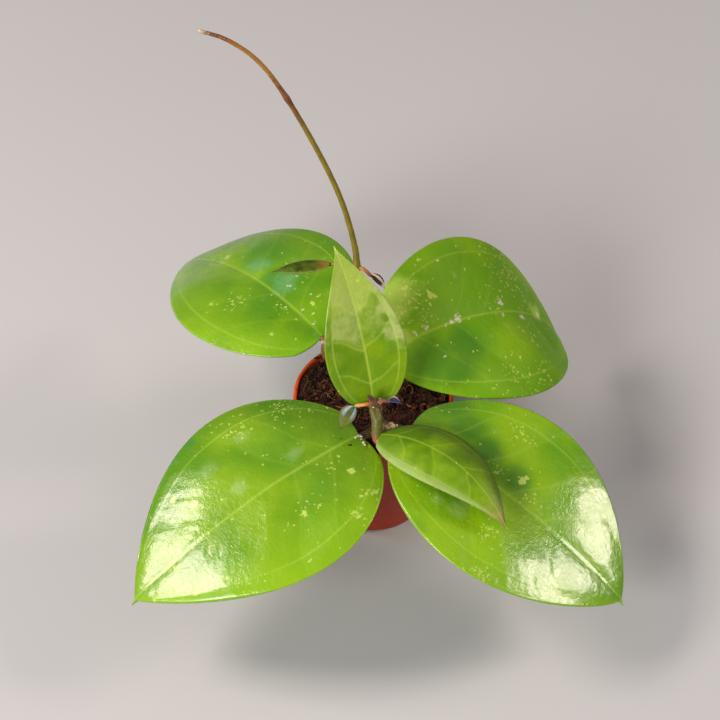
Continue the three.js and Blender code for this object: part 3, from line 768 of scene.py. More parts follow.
# %% Young leaf material
BUD = dict(
    patch=3, flecks=0, crumple=0.8, coat=0, rough=(0.4, 0.5), cross=0, shine=0.2, tone=("#5a6420", 0.3),
)
LEAF_WAX["young_left"] = leaf_material(
    "bud_with_painted_sheen_left", "#363e0c", "#4c541a", "#424814", midrib=0.2, vein="#2a300c", under="#5f6a2e",
    bands=[
        # the pale bluish bands are a painted reflection on each half
        ("X", 0.2, 0.5, "#7c909e", 0.85), ("X", -0.2, -0.5, "#9cacb8", 0.85),
        ("X", 0.6, 0.85, "#4c541a", 0.85), ("X", -0.6, -0.85, "#4c541a", 0.85),
        ("Y", 0.3, 0.6, "#565e14", 0.97),
    ],
    **BUD,
)
LEAF_WAX["young_right"] = leaf_material(
    "bud_with_painted_sheen_right", "#241624", "#3c2c44", "#2e2440", midrib=0.2, vein="#4a2c30", under="#4c4678",
    # a painted blue sheen on one half, and a painted white highlight along the other margin
    bands=[("X", -0.45, -0.7, "#5868a8", 0.8), ("X", 0.6, 0.9, "#d8d4e4", 0.8)], **BUD,
)
LEAF_WAX["vine_left"] = leaf_material(
    "olive_vine_leaf_left", "#33420a", "#4f6412", "#3d4a0c", midrib=0.5, vein="#77862a", under="#6a7a34",
    bands=[
        # the pale bands along both margins are painted highlights
        ("Y", 0.3, 0.05, "#96742a", 0.85), ("X", 0.82, 0.97, "#a0a860", 0.6),
        ("X", -0.85, -0.97, "#c0c49c", 0.8),
    ],
    **BUD,
)
LEAF_WAX["vine_right"] = leaf_material(
    "brown_vine_leaf_right", "#33240f", "#4c3a18", "#2c2010", midrib=0.1, vein="#2a1c10", under="#5a4020",
    bands=[
        # the pink stripe is a painted reflection, and the white end a painted glint
        ("X", 0.1, 0.3, "#ecd4c8", 0.95), ("X", 0.6, 0.75, "#33220e", 0.97),
        ("Y", 0.66, 0.78, "#efe8de", 0.9),
    ],
    **BUD,
)
print("With the young leaves that makes", len(LEAF_WAX))

# %% [markdown]
# Each leaf is now one blade of its own: its shape, its marks and its wax come together here. The
# leaf's place in the list is the seed of its chance numbers, so that no two blades are alike.

# %% Grow the blades
for seed, (name, leaf) in enumerate(LEAVES.items()):
    spec = KINDS[leaf["kind"]]
    bend = blade_bend(leaf, seed, MARKS.get(name, {}), PAINTED_SHEEN_FIELDS.get(name))
    mesh = skin("blade_" + name, *spec["corners"], bend)
    finish_piece("blade_" + name, mesh, LEAF_WAX[name], spec["slot"], "leaf_" + name)

# %% [markdown]
# Stalks and stems are round skins along a smooth path, with a radius at each of its points. The
# rings are carried along the path without twisting. The ends are domed, because a cut plant part
# heals round.

# %% A stem along a path
STEM_SWELLING = {"rise": 0.28, "reach": 2.2}  # at a node: a share of the radius, and mm along the stem
PATH_STEPS = 24  # between one point of a path and the next


def smooth_path(points, radii, count):
    """Even steps along a smooth curve through the points, with the radius at each step."""
    points = np.array(points, float)
    held = np.vstack([2 * points[0] - points[1], points, 2 * points[-1] - points[-2]])
    dense, thick = [], []
    for piece in range(len(points) - 1):
        a, b, c, d = held[piece : piece + 4]
        for t in np.linspace(0, 1, PATH_STEPS, endpoint=False):
            dense.append(
                b + (c - a) * t / 2 + (a - 2.5 * b + 2 * c - d / 2) * t**2 + (-a + 3 * b - 3 * c + d) * t**3 / 2
            )
            thick.append(radii[piece] + (radii[piece + 1] - radii[piece]) * t)
    dense, thick = np.array(dense + [points[-1]]), np.array(thick + [radii[-1]])
    run = np.concatenate([[0], np.cumsum(np.linalg.norm(np.diff(dense, axis=0), axis=1))])
    even = np.linspace(0, run[-1], count + 1)
    line = np.stack([np.interp(even, run, dense[:, axis]) for axis in range(3)], 1)
    return line, np.interp(even, run, thick), run[-1]


def carried_rings(line):
    """Two directions square to the path at each step, that don't twist round it."""
    ahead = np.gradient(line, axis=0)
    ahead /= np.linalg.norm(ahead, axis=1)[:, None]
    first = np.cross(ahead[0], (1, 0, 0) if abs(ahead[0][0]) < 0.9 else (0, 1, 0))
    rings = [first / np.linalg.norm(first)]
    for step in ahead[1:]:
        turned = rings[-1] - step * np.dot(rings[-1], step)
        rings.append(turned / np.linalg.norm(turned))
    return np.array(rings), np.cross(ahead, rings)


def stem_bend(points, radii, steps, nodes=(), rough=0.06, grain=1.2, seed=0, dome=1.0, channel=0.0):
    line, thick, length = smooth_path(points, radii, steps)
    for node in nodes:
        away = np.linalg.norm(line - np.array(node), axis=1)
        thick = thick * (1 + STEM_SWELLING["rise"] * ridge(away, STEM_SWELLING["reach"]))
    one, other = carried_rings(line)

    def bend(around, along):
        step = np.clip(np.round(along * steps).astype(int), 0, steps)
        angle = 2 * math.pi * around
        run = along * length
        to_end = np.minimum(run, length - run)
        closing = np.clip(to_end / (thick[step] * dome), 0, 1)
        radius = thick[step] * np.sqrt(1 - (1 - closing) ** 2)
        out = one[step] * np.cos(angle)[:, None] + other[step] * np.sin(angle)[:, None]
        groove = 1 - channel * np.clip(out[:, 2], 0, 1) ** 6
        places = line[step] + out * (radius * groove)[:, None]
        places = places + out * (rough * noise_at(places, grain, seed) * closing)[:, None]
        return places, {"stem": (along, run, around)}

    return bend


print("At a node a stem is", 1 + STEM_SWELLING["rise"], "times as thick as beside it")

# %% [markdown]
# Young stalks are green with a corky, red-brown skin that spreads from the joint. The vine starts
# olive, turns orange brown and golden towards the end, and dries pale at its tip. So each stem
# material is a run of colours along the stem, broken up by fine lengthwise streaks.

# %% Stem materials
STREAKS = (0, 0.25, 9)  # lengthwise streaks: one in 4 mm along the stem, and nine round it


def stem_material(name, stops, speck="#a89a70", specks=0.5, roughness=0.45, streak=0.5):
    """Stops are pairs: a share along the stem and the colour there."""
    material, tree, shader = new_material(name, roughness)
    run = put(tree, "Attribute", out="Vector", attribute_name="stem")
    space = put(tree, "TexCoord", out="Object")
    # the change of colour wanders a little, in patches of 3 mm, and corky dots are 0.5 mm wide
    wander, dots = (
        put(tree, "TexNoise", {"Vector": space, "Scale": PER_METRE / size, "Detail": 2}) for size in (3, 0.5)
    )
    shift = put(tree, "MapRange", (wander, 0.3, 0.7, -0.03, 0.03))
    along = put(tree, "SeparateXYZ", [run], out="X")
    colour = put(tree, "ValToRGB", [put(tree, "Math", (along, shift), operation="ADD")])
    ramp = colour.node.color_ramp
    for _ in stops[2:]:
        ramp.elements.new(0.5)
    for element, (share, code) in zip(ramp.elements, stops):
        element.position, element.color = share, linear(code)
    stretched = put(tree, "Mapping", {"Vector": run, "Scale": STREAKS})
    lines = put(tree, "TexNoise", {"Vector": stretched, "Scale": 1, "Detail": 2})
    shade = put(tree, "MapRange", (lines, 0.35, 0.7, 0, streak))
    corky = put(tree, "MapRange", (dots, 0.6, 0.72, 0, specks))
    bump = put(tree, "Bump", {"Height": dots, "Strength": 0.35, "Distance": 0.1 * MM})
    paint(tree, shader, colour, [(shade, "#3d2c14"), (corky, speck)], Normal=bump)
    return material


VINE_SKIN = stem_material(
    "vine_skin",
    [
        (0, "#64600c"), (0.35, "#78700a"), (0.66, "#7a6a08"), (0.74, "#72500e"), (0.77, "#6c3210"),
        (0.8, "#7a4410"), (0.84, "#a07210"), (0.92, "#966218"), (0.955, "#8a4c24"), (0.968, "#62301c"),
        (0.98, "#a48870"), (1, "#ccb8a0"),
    ],
    speck="#9a8450", specks=0.25,
)
SHOOT_SKIN = stem_material(
    "shoot_skin",
    [
        (0, "#4a4420"), (0.45, "#5a5a28"), (0.66, "#6a5a38"), (0.74, "#a0605a"), (0.84, "#6a5240"),
        (1, "#6e4c42"),
    ],
)
OLD_SKIN = stem_material(
    "old_stem_bark", [(0, "#2e2212"), (0.5, "#43341c"), (0.85, "#5a4a2a"), (1, "#8a7448")],
    speck="#cdbb96", streak=0.7,
)
print("Made", VINE_SKIN.name + ",", SHOOT_SKIN.name, "and", OLD_SKIN.name)

# %% [markdown]
# The stalks differ in the photograph. The front left one is dark brown, the middle right one stout
# and olive with a groove on top, and the smallest are orange with a pink foot.

# %% Leaf stalks
STALK = {"under": 0.75, "reach": 14, "most": 0.12, "taper": (1.1, 1, 1, 0.9, 0.45)}
STALK_GRIDS = {"large": (40, 70, 0.1), "small": (40, 70, 0.1), "tiny": (24, 40, 0.03)}  # and grain in mm
CHANNELS = {"middle_right": 0.35}  # how deep the groove on top is, as a share of the radius
STALK_SKIN = {
    "front_left": [(0, "#2e1e10"), (0.4, "#3c2a12"), (0.7, "#5c4a20"), (1, "#6f8a28")],
    "front_right": [(0, "#4a3820"), (0.4, "#5c4a30"), (0.7, "#5f5a2c"), (1, "#6f8a28")],
    "back_left": [(0, "#4a3418"), (0.3, "#5c3c18"), (0.6, "#7c4e30"), (1, "#86983c")],
    "back_right": [(0, "#5c4a2c"), (0.4, "#7a6c38"), (0.7, "#7f8a34"), (1, "#6f9a34")],
    "centre": [(0, "#6b5a34"), (0.4, "#7d6a40"), (0.7, "#8a7a4a"), (1, "#8fae3a")],
    "middle_right": [
        (0, "#7a4a3c"), (0.12, "#5c5a24"), (0.45, "#5f6028"), (0.6, "#9c4a42"), (0.7, "#a85844"),
        (1, "#7f9c2c"),
    ],
    "young_left": [(0, "#b04a50"), (0.15, "#b8563e"), (0.35, "#c8843c"), (0.8, "#d0a05a"), (1, "#a39a70")],
    "young_right": [(0, "#8a4a3c"), (0.5, "#985c3f"), (0.8, "#7a4a4a"), (1, "#4a3a4e")],
    "vine_left": [(0, "#7a5a28"), (0.5, "#8a6a30"), (1, "#6a6a28")],
    "vine_right": [(0, "#b07a3a"), (0.5, "#c07a3a"), (1, "#6a4a28")],
}


def stalk_path(leaf):
    radius = leaf["radius"]
    shares = [-radius / leaf["length"], 0.02, min(STALK["reach"] / leaf["length"], STALK["most"])]
    place, _, normal = midrib_of(leaf)(np.array(shares))
    under = place - normal * radius * STALK["under"]
    return leaf["stalk"] + [tuple(p) for p in under], [share * radius for share in STALK["taper"]]


for seed, (name, leaf) in enumerate(LEAVES.items()):
    kind = leaf["kind"]
    around, along, rough = STALK_GRIDS[kind]
    bend = stem_bend(*stalk_path(leaf), along, rough=rough, seed=seed, channel=CHANNELS.get(name, 0.1))
    cover = stem_material("stalk_skin_" + name, STALK_SKIN[name], streak=0.35)
    mesh = skin("stalk_" + name, around, along, bend)
    finish_piece("stalk_" + name, mesh, cover, KINDS[kind]["slot"], "leaf_" + name)

# %% [markdown]
# The front stem is an old cutting, healed over where it was cut, with a new shoot beside it that
# ends in a soft growing tip. The back stem is a vine: it has its own leaves low down, a small pair
# at the next joint, and then a long bare end that was looking for something to climb.

# %% Stems
STEMS = {
    "old_stem_front": dict(
        points=[(3.4, -14.8, 38), (3.2, -16.4, 50), (3, -19.4, 59), (6.5, -23, 62.7)],
        radii=[1.7, 1.8, 2.2, 1.5], nodes=[(3, -19.4, 59)], steps=90, dome=0.25, rough=0.14,
    ),
    "shoot_front": dict(
        points=[
            (2.6, -19.4, 58), (1.4, -19.8, 65), (0.2, -21.4, 72.6), (-0.6, -22.9, 77.4), (-2.3, -25.4, 81.8),
        ],
        radii=[1.9, 1.6, 1.7, 1, 0.55], nodes=[(0.2, -21.4, 72.6), (2, -19.6, 62.5)],
        steps=90, dome=2.5, rough=0.16,
    ),
    "vine_back": dict(
        points=[
            (-6, 4.2, 38), (-7.2, 6.4, 50), (-8, 9, 61), (-7.4, 14.6, 78), (-6.2, 21.8, 100.4),
            (-7.4, 25.4, 111), (-11.9, 30.5, 126), (-19.4, 36.1, 142.2), (-30.6, 42.7, 162),
            (-40.2, 47.1, 174.6), (-50.7, 49.6, 182), (-61, 50.7, 185.4),
        ],
        radii=[1.8, 1.9, 2, 1.6, 1.3, 1.05, 1, 0.95, 0.9, 0.8, 0.75, 0.7],
        nodes=[(-8, 9, 61), (-6.2, 21.8, 100.4), (-30.6, 42.7, 162)], steps=420, rough=0.07,
    ),
}
STEM_LOOKS = {
    "old_stem_front": (OLD_SKIN, "stem_front"),
    "shoot_front": (SHOOT_SKIN, "stem_front"),
    "vine_back": (VINE_SKIN, "stem_back"),
}
STEM_AROUND = 36
for name, spec in STEMS.items():
    cover, node = STEM_LOOKS[name]
    bend = stem_bend(**spec, grain=1.4, seed=len(name))
    finish_piece(name, skin(name, STEM_AROUND, spec["steps"], bend), cover, "stem", node)

# %% [markdown]
# The pot is moulded in one shot from orange polypropylene: a thin wall that tapers for stacking, a
# deeper collar that stiffens the rim, and drain holes in the floor. Spinning its profile is the
# natural way to make it, and the holes are cut afterwards.

# %% The pot's shell
POT = {"height": 55, "rim": 30, "foot": 21, "chamfer": 0.8, "wall": 1.3, "floor": 2, "collar": 9, "step": 1}
DRAIN = {"holes": 6, "radius": 2.6, "ring": 14.5}
POT_STEPS = 144
SHARP_ANGLE = 35


def wall_radius(z):
    slope = (POT["rim"] - POT["step"] - POT["foot"]) / POT["height"]
    return POT["foot"] + slope * z + min(max(z - (POT["height"] - POT["collar"]), 0), POT["step"])


def pot_profile():
    collar = POT["height"] - POT["collar"]
    steps = [collar + rise for rise in (-0.3, 0, 0.3, 0.7, POT["step"], POT["step"] + 0.4)]
    outside = [(0, 0), (POT["foot"] - POT["chamfer"] - 0.4, 0), (POT["foot"] - POT["chamfer"], 0.12)]
    outside += [(wall_radius(z) - 0.05, z) for z in (POT["chamfer"], POT["chamfer"] + 0.4)]
    outside += [(wall_radius(z), z) for z in [*np.linspace(4, collar - 2, 8), *steps]]
    half = POT["wall"] / 2
    turns = np.linspace(0, math.pi, 9)
    lip = [(POT["rim"] - half + half * math.cos(t), POT["height"] - half + half * math.sin(t)) for t in turns]
    inside = [(wall_radius(z) - POT["wall"], z) for z in [*reversed(steps), *np.linspace(collar - 2, 4, 8)]]
    inside += [(wall_radius(POT["floor"]) - POT["wall"], POT["floor"]), (0, POT["floor"])]
    return outside + lip + inside


def spin_pot():
    bm = bmesh.new()
    verts = [bm.verts.new((radius * MM, 0, z * MM)) for radius, z in pot_profile()]
    edges = [bm.edges.new(pair) for pair in zip(verts, verts[1:])]
    round_once = dict(axis=(0, 0, 1), cent=(0, 0, 0), angle=2 * math.pi, steps=POT_STEPS, use_merge=True)
    bmesh.ops.spin(bm, geom=verts + edges, **round_once)
    weld(bm)
    return mesh_of(bm, "pot_shell")


def drill(mesh):
    """Cuts the drain holes with one Boolean, and gives back the cut mesh."""
    bm = bmesh.new()
    for hole in range(DRAIN["holes"]):
        angle = 2 * math.pi * hole / DRAIN["holes"]
        place = Matrix.Translation(Vector((math.cos(angle), math.sin(angle), 0)) * DRAIN["ring"] * MM)
        size = dict(radius1=DRAIN["radius"] * MM, radius2=DRAIN["radius"] * MM, depth=3 * POT["floor"] * MM)
        bmesh.ops.create_cone(bm, cap_ends=True, segments=32, **size, matrix=place)
    shell, drills = stand("shell", mesh), stand("drills", mesh_of(bm, "drills"))
    cut = shell.modifiers.new("holes", "BOOLEAN")
    cut.operation, cut.solver, cut.object = "DIFFERENCE", "EXACT", drills
    bpy.context.view_layer.update()
    drilled = bpy.data.meshes.new_from_object(shell.evaluated_get(bpy.context.evaluated_depsgraph_get()))
    drilled.name = "pot"
    for made in (shell, drills):
        bpy.data.objects.remove(made)
    drilled.set_sharp_from_angle(angle=math.radians(SHARP_ANGLE))
    return drilled


print("The pot's profile has", len(pot_profile()), "points")

# %% [markdown]
# Polypropylene is a little waxy: its gloss is broad, and light sinks into it a bit. The orange is
# slightly cloudy, the surface keeps the fine grain of the mould, and handling has left pale
# scuffs and a few splashes of soil under the rim.

# %% Moulded polypropylene
POT_PATTERNS = ((18, 3), (5, 6), (0.35, 2))  # size in mm and detail of clouds, dirt and grain
SCUFFS = (80, 80, 1400)  # scuffs run round the pot, 12 mm long and under a millimetre high


def pot_plastic():
    material, tree, shader = new_material("moulded_polypropylene", 0.4, 1.49)
    space = put(tree, "TexCoord", out="Object")
    cloud, dirt, grain = (
        put(tree, "TexNoise", {"Vector": space, "Scale": PER_METRE / size, "Detail": detail})
        for size, detail in POT_PATTERNS
    )
    stretched = put(tree, "Mapping", {"Vector": space, "Scale": SCUFFS})
    scuff = put(tree, "TexNoise", {"Vector": stretched, "Scale": 1, "Detail": 4})
    worn = put(tree, "MapRange", (scuff, 0.62, 0.78, 0, 0.3))
    # splashes of soil, most of them in the top 8 mm
    height = put(tree, "SeparateXYZ", [space], out="Z")
    high = put(tree, "MapRange", (height, 47 * MM, 55 * MM, 0, 0.16))
    soiled = put(tree, "MapRange", (put(tree, "Math", (dirt, high), operation="ADD"), 0.72, 0.84, 0, 0.75))
    # the thin rim lets light through, and looks brighter than the wall
    bright = put(tree, "MapRange", (height, 52.5 * MM, 54.5 * MM, 0, 0.85))
    rough = put(tree, "MapRange", (cloud, 0.3, 0.7, 0.33, 0.48))
    bump = put(tree, "Bump", {"Height": grain, "Strength": 0.15, "Distance": 0.1 * MM})
    coats = [(cloud, "#b4360c"), (worn, "#c8643a"), (bright, "#f0601e"), (soiled, "#3e2214")]
    paint(tree, shader, linear("#90200a"), coats, Roughness=rough, Normal=bump)
    return material


finish_piece("pot_body", drill(spin_pot()), pot_plastic(), "pot", "pot")

# %% [markdown]
# Potting soil is mostly peat and fine bark. Up close it is a heap of dark crumbs from dust to
# 3 mm, with red-brown bark bits and tan root fibres on top. The body is one skin with a lumpy
# top. Loose crumbs are scattered over it, each a small dented ball, with its own tone.

# %% Soil body
SOIL = {"level": 54, "mound": 1.1, "lumps": 0.6, "clearance": 0.36, "around": 240, "along": 120}
SOIL_TURNS = [0, 0.08, 0.2, 1]  # where the skin lies in the middle below, at the foot, the brim and on top
SOIL_GRAIN = ((0.55, 2.6, 0), (0.35, 1.1, 2), (0.15, 0.5, 4))  # height and size in mm, and a seed


def soil_top(x, y):
    share = np.hypot(x, y) / POT["rim"]
    lump = (
        np.sin(0.61 * x + 1.3) * np.cos(0.53 * y - 0.4)
        + 0.6 * np.sin(1.17 * x - 0.9 * y + 2.1)
        + 0.4 * np.cos(1.9 * y + 1.4 * x)
    )
    return SOIL["level"] + SOIL["mound"] * (1 - share**2) + SOIL["lumps"] * lump


def soil_bend(around, along):
    """From the middle of the underside out, up the side, and in over the top to its middle."""
    inner = POT["wall"] + SOIL["clearance"]
    low, high = POT["floor"] + 0.3, SOIL["level"] - 1.5
    foot, brim = wall_radius(low) - inner, wall_radius(high) - inner
    radius = np.interp(along, SOIL_TURNS, [0, foot, brim, 0])
    height = np.interp(along, SOIL_TURNS, [low, low, high, high])
    angle = 2 * math.pi * around
    x, y = radius * np.cos(angle), radius * np.sin(angle)
    flat = np.stack([x, y, np.zeros_like(x)], 1)
    crumbs = sum(rise * noise_at(flat, size, seed) for rise, size, seed in SOIL_GRAIN)
    height = np.where(along >= SOIL_TURNS[2], soil_top(x, y) + crumbs - 0.2, height)
    return np.stack([x, y, height], 1), {"tone": [0.5 + crumbs] * 3}


print("The soil stands", round(float(soil_top(0, 0)), 1), "mm high in the middle")

# %% [markdown]
# Damp peat has no gloss. Two patterns colour it: bits of 1.5 mm, mixed with the tone that each
# crumb carries, and paler dust of 0.4 mm on them. Bark, grit, nodules and the callus are crumbly
# too, so they share the material with colours of their own.

# %% Peat material
PEAT_PATTERNS = ((1.5, 5), (0.4, 3))  # size in mm and detail of bits and dust


def peat_material(name, dark, mid, light, roughness=0.95):
    material, tree, shader = new_material(name, roughness, 1.4)
    space = put(tree, "TexCoord", out="Object")
    bits, dust = (
        put(tree, "TexNoise", {"Vector": space, "Scale": PER_METRE / size, "Detail": detail})
        for size, detail in PEAT_PATTERNS
    )
    tone = put(tree, "Attribute", out="Vector", attribute_name="tone")
    own = put(tree, "SeparateXYZ", [tone], out="X")
    mixed = put(tree, "MapRange", (put(tree, "Math", (bits, own), operation="MULTIPLY"), 0.17, 0.5, 0, 1))
    lit = put(tree, "MapRange", (dust, 0.56, 0.72, 0, 0.6))
    bump = put(tree, "Bump", {"Height": dust, "Strength": 0.6, "Distance": 0.3 * MM})
    paint(tree, shader, linear(dark), [(mixed, mid), (lit, light)], Normal=bump)
    return material


PEAT = peat_material("damp_peat", "#0e0704", "#4a2412", "#885030")
finish_piece("soil_body", skin("soil_body", SOIL["around"], SOIL["along"], soil_bend), PEAT, "soil", "soil")

# %% [markdown]
# Loose crumbs lie all over the top, most of them small. Each is a ball of few faces, turned and
# squashed by chance and dented by noise, and it sits a little above the soil's own surface.

# %% Crumbs on the soil
CRUMBS = [
    dict(name="soil_crumbs", count=1500, sizes=(0.25, 0.9), flat=0.7, seed=3, material=PEAT),
    dict(
        name="bark_bits", count=330, sizes=(0.3, 1.1), flat=0.45, seed=8,
        material=peat_material("red_bark", "#2e150b", "#74381c", "#a8643e"),
    ),
]
CRUMB = {"from_wall": 1.6, "lift": 0.25, "tilt": 0.9, "fine_from": 0.7, "dents": 0.35, "dent_size": 0.6}
FULL_TURN = 6.28  # in radians, as tilt is


def scatter_crumbs(name, count, sizes, flat, seed, material):
    draw = random.Random(seed)
    brim = POT["rim"] - POT["wall"] - CRUMB["from_wall"]
    bm = bmesh.new()
    tone = bm.verts.layers.float_vector.new("tone")
    for _ in range(count):
        radius, angle = brim * math.sqrt(draw.random()), draw.uniform(0, 2 * math.pi)
        x, y = radius * math.cos(angle), radius * math.sin(angle)
        top = float(soil_top(x, y))
        size = sizes[0] + (sizes[1] - sizes[0]) * draw.random() ** 3
        turn = Matrix.Rotation(draw.uniform(0, FULL_TURN), 4, "Z")
        turn = turn @ Matrix.Rotation(draw.uniform(-CRUMB["tilt"], CRUMB["tilt"]), 4, "X")
        squash = Matrix.Diagonal((draw.uniform(0.7, 1.4), draw.uniform(0.7, 1.1), flat, 1))
        place = Matrix.Translation(Vector((x, y, top + CRUMB["lift"] * size)) * MM)
        rounds = 2 if size > CRUMB["fine_from"] else 1
        shape = place @ turn @ squash
        made = bmesh.ops.create_icosphere(bm, subdivisions=rounds, radius=size * MM, matrix=shape)
        own = draw.random()
        centre, apart = Vector((x, y, top)) * MM, Vector((own * 9, 0, 0))
        for vert in made["verts"]:
            dent = 1 + CRUMB["dents"] * noise.noise(vert.co / MM / CRUMB["dent_size"] + apart)
            vert.co = centre + (vert.co - centre) * dent
            vert[tone] = [0.3 + 0.9 * own] * 3
    finish_piece(name, mesh_of(bm, name), material, "soil", "soil")


for spec in CRUMBS:
    scatter_crumbs(**spec)

# %% [markdown]
# The last pieces are small, but they make the plant look grown and potted. Fine tan roots and a few
# twigs stick out of the soil, crumbs of it were left on the rim and on the leaves when the plant was
# watered, the shoot has pale nodules, and the old stem healed with a corky callus where it was cut.

# %% Root fibres and twigs
FIBRES = {
    "seen": [
        [(-26.3, 0.9, 54.9), (-25.6, 3.5, 56.2), (-24.5, 6, 56.3), (-24.9, 8.6, 56.2), (-26.1, 9.7, 55)],
        [(-19.9, -2.2, 55.3), (-18.8, -0.7, 56.1), (-17.3, -0.1, 56.2), (-16.9, -1.7, 55.3)],
        [(11.7, 1.6, 55.2), (12.8, 3.2, 56.6), (14.3, 2.7, 56.9), (15, 1.1, 56.4), (13.9, 0.1, 55.2)],
        [(27, -0.2, 54.6), (26.9, -1.6, 56.2), (26.6, -3.3, 55.4)],
    ],
    "count": 30, "length": (2.5, 6), "radius": (0.07, 0.14), "seed": 21,
    "start_within": 25, "stay_within": 26.5, "pulled_in": 0.8, "above": (-0.4, 0.5, 0.9, 0.5, -0.4),
}
TWIGS = [
    ([(12.3, -5.5, 55.8), (13.8, -7, 56.2), (14.9, -6.5, 55.8)], 0.3),
    ([(-14, -6, 55.4), (-12.2, -7.5, 56.1), (-10.2, -7.9, 55.7)], 0.28),
    ([(20, 6, 55), (21.4, 4.4, 55.8), (22.6, 3.9, 55.1)], 0.25),
]


def joined(name, meshes):
    """One mesh out of many."""
    bm = bmesh.new()
    for mesh in meshes:
        bm.from_mesh(mesh)
        bpy.data.meshes.remove(mesh)
    return mesh_of(bm, name)


def chance_fibre(draw):
    """A fibre that rises out of the soil somewhere, bends, and goes back in."""
    radius, angle = FIBRES["start_within"] * math.sqrt(draw.random()), draw.uniform(0, FULL_TURN)
    x, y, heading = radius * math.cos(angle), radius * math.sin(angle), draw.uniform(0, FULL_TURN)
    step, points = draw.uniform(*FIBRES["length"]) / 4, []
    for above in FIBRES["above"]:
        points.append((x, y, float(soil_top(x, y)) + above))
        heading += draw.uniform(-0.9, 0.9)
        x, y = x + step * math.cos(heading), y + step * math.sin(heading)
    inside = [point for point in points if math.hypot(point[0], point[1]) < FIBRES["stay_within"]]
    share = FIBRES["pulled_in"]
    return inside if len(inside) > 2 else points[:1] + [(x * share, y * share, z) for x, y, z in points[1:]]


draw = random.Random(FIBRES["seed"])
fibres = []
for path in FIBRES["seen"] + [chance_fibre(draw) for _ in range(FIBRES["count"])]:
    radius = draw.uniform(*FIBRES["radius"])
    bend = stem_bend(path, [radius * 0.7] + [radius] * (len(path) - 2) + [radius * 0.6], 14, rough=0.03)
    fibres.append(skin("fibre", 6, 14, bend))
ROOT_RUN = [(0, "#6a4022"), (0.5, "#96683e"), (1, "#a87c50")]
ROOT = stem_material("dry_root_fibre", ROOT_RUN, specks=0.2, roughness=0.7)
finish_piece("root_fibres", joined("root_fibres", fibres), ROOT, "soil", "soil")
twigs = [skin("twig", 10, 20, stem_bend(path, [size] * 3, 20, rough=0.08)) for path, size in TWIGS]
BARK = stem_material("orange_bark_twig", [(0, "#7a4022"), (0.5, "#a05a2e"), (1, "#8a4a28")], roughness=0.75)
finish_piece("twigs", joined("twigs", twigs), BARK, "soil", "soil")

# %% [markdown]
# Grit, nodules and the callus are lumps: a ball squashed along one direction, dented by noise. Each
# is listed with its place in mm and its three half sizes.

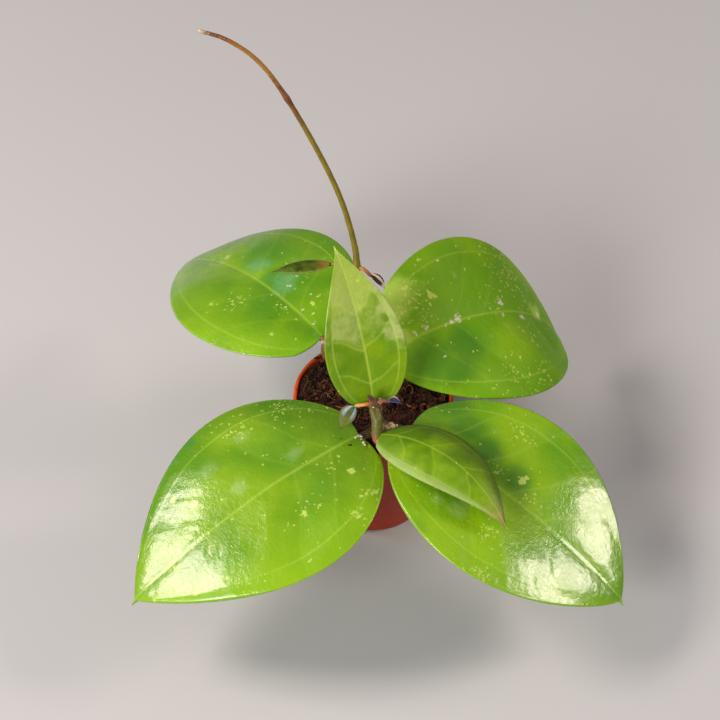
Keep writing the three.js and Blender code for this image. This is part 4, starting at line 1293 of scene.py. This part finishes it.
# %% Grit, nodules and the healed cut
LUMPS = {
    "watering_grit": dict(
        lumps=[
            ((-5.2, -27.4, 62.6), (0.95, 0.7, 0.45)), ((-3.6, -30.6, 62.6), (0.6, 0.75, 0.4)),
            ((-6.4, -28.0, 62.5), (0.5, 0.5, 0.3)), ((-4.4, -29.1, 62.7), (0.45, 0.35, 0.3)),
            ((-4.3, -27.9, 62.9), (0.4, 0.4, 0.3)), ((-3.1, -31.6, 62.5), (0.4, 0.4, 0.3)),
            ((-18.6, 10.1, 73), (1, 0.8, 0.6)), ((-17.5, 11.3, 73.4), (0.6, 0.5, 0.4)),
            ((0, -23.2, 73.6), (0.5, 0.5, 0.4)), ((2.4, -18.8, 73), (0.5, 0.4, 0.4)),
            ((5.8, -19.8, 73.6), (0.5, 0.4, 0.4)),
        ],
        colours=("#8a7460", "#d8ccba", "#fbf4ea"), node="soil",
    ),
    "soil_left_on_rim": dict(
        lumps=[
            ((-21.6, 18.8, 55.2), (0.9, 0.6, 0.4)), ((-20.1, 19.9, 55.2), (0.7, 0.5, 0.35)),
            ((-8.5, -31.6, 62.3), (0.8, 0.4, 0.3)), ((-11.8, -28.6, 62.2), (0.5, 0.4, 0.3)),
            ((24.2, 15.2, 55.2), (0.6, 0.5, 0.3)), ((-27.6, -7.4, 55.2), (0.5, 0.5, 0.3)),
        ],
        colours=("#140a06", "#3c2013", "#5a3420"), node="soil",
    ),
    "shoot_nodules": dict(
        lumps=[
            ((1.9, -21.9, 72.4), (0.9, 0.8, 0.9)), ((2.3, -22.3, 70.9), (0.7, 0.6, 0.8)),
            ((2.5, -21.7, 74), (0.6, 0.5, 0.6)), ((-0.6, -23.6, 72.2), (0.5, 0.5, 0.6)),
        ],
        colours=("#a06a58", "#c99a84", "#e2c3ae"), node="stem_front",
    ),
    "healed_cut": dict(
        lumps=[((6.3, -24.4, 64.3), (1.7, 1.6, 1.05)), ((8.3, -22.9, 63.2), (0.6, 0.5, 0.5))], tilt=40,
        # painted light: the callus is near white, lighter than its own cream, so that it looks lit in the shade
        # of the leaf above it
        colours=("#d8ae78", "#fbe4bc", "#ffffff"), node="stem_front",
    ),
    "healed_vessels": dict(
        lumps=[
            (place, (0.22, 0.2, 0.2))
            for place in (
                (5.8, -24.6, 65.4), (6.6, -24.5, 65.5), (7.1, -25, 65.1), (6.5, -25.3, 64.8),
                (5.7, -25.3, 64.8), (6.2, -24.9, 65.2),
            )
        ],
        colours=("#2a1a0c", "#5a3c1c", "#7a5630"), node="stem_front",
    ),
}
DENTS = ((0.25, 0.7), (0.1, 0.25))  # depth as a share of the radius, and size in mm


def lumpy(name, lumps, tilt=0):
    bm = bmesh.new()
    tone = bm.verts.layers.float_vector.new("tone")
    turn = Matrix.Rotation(math.radians(tilt), 4, "X")
    for number, (place, half) in enumerate(lumps):
        centre = Vector(place) * MM
        shape = Matrix.Translation(centre) @ (turn @ Matrix.Diagonal((*half, 1)))
        for vert in bmesh.ops.create_icosphere(bm, subdivisions=3, radius=MM, matrix=shape)["verts"]:
            dent = 1 + sum(deep * noise.noise(vert.co / MM / size) for deep, size in DENTS)
            vert.co = centre + (vert.co - centre) * dent
            vert[tone] = [0.55 + 0.25 * (number % 3)] * 3
    return mesh_of(bm, name)


for name, spec in LUMPS.items():
    cover = peat_material("crumbly_" + name, *spec["colours"], roughness=0.8)
    slot = spec["node"].split("_")[0]  # the first word of the solid's name
    finish_piece(name, lumpy(name, spec["lumps"], spec.get("tilt", 0)), cover, slot, spec["node"])

# %% [markdown]
# Last, measure the dressed plant, and print the box that it reaches. The dressed plant has to
# stay inside the box of its solids.

# %% Measure and finish
dressed_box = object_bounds()
print("Dressed, it reaches from", in_mm(dressed_box[0], 1), "to", in_mm(dressed_box[1], 1))
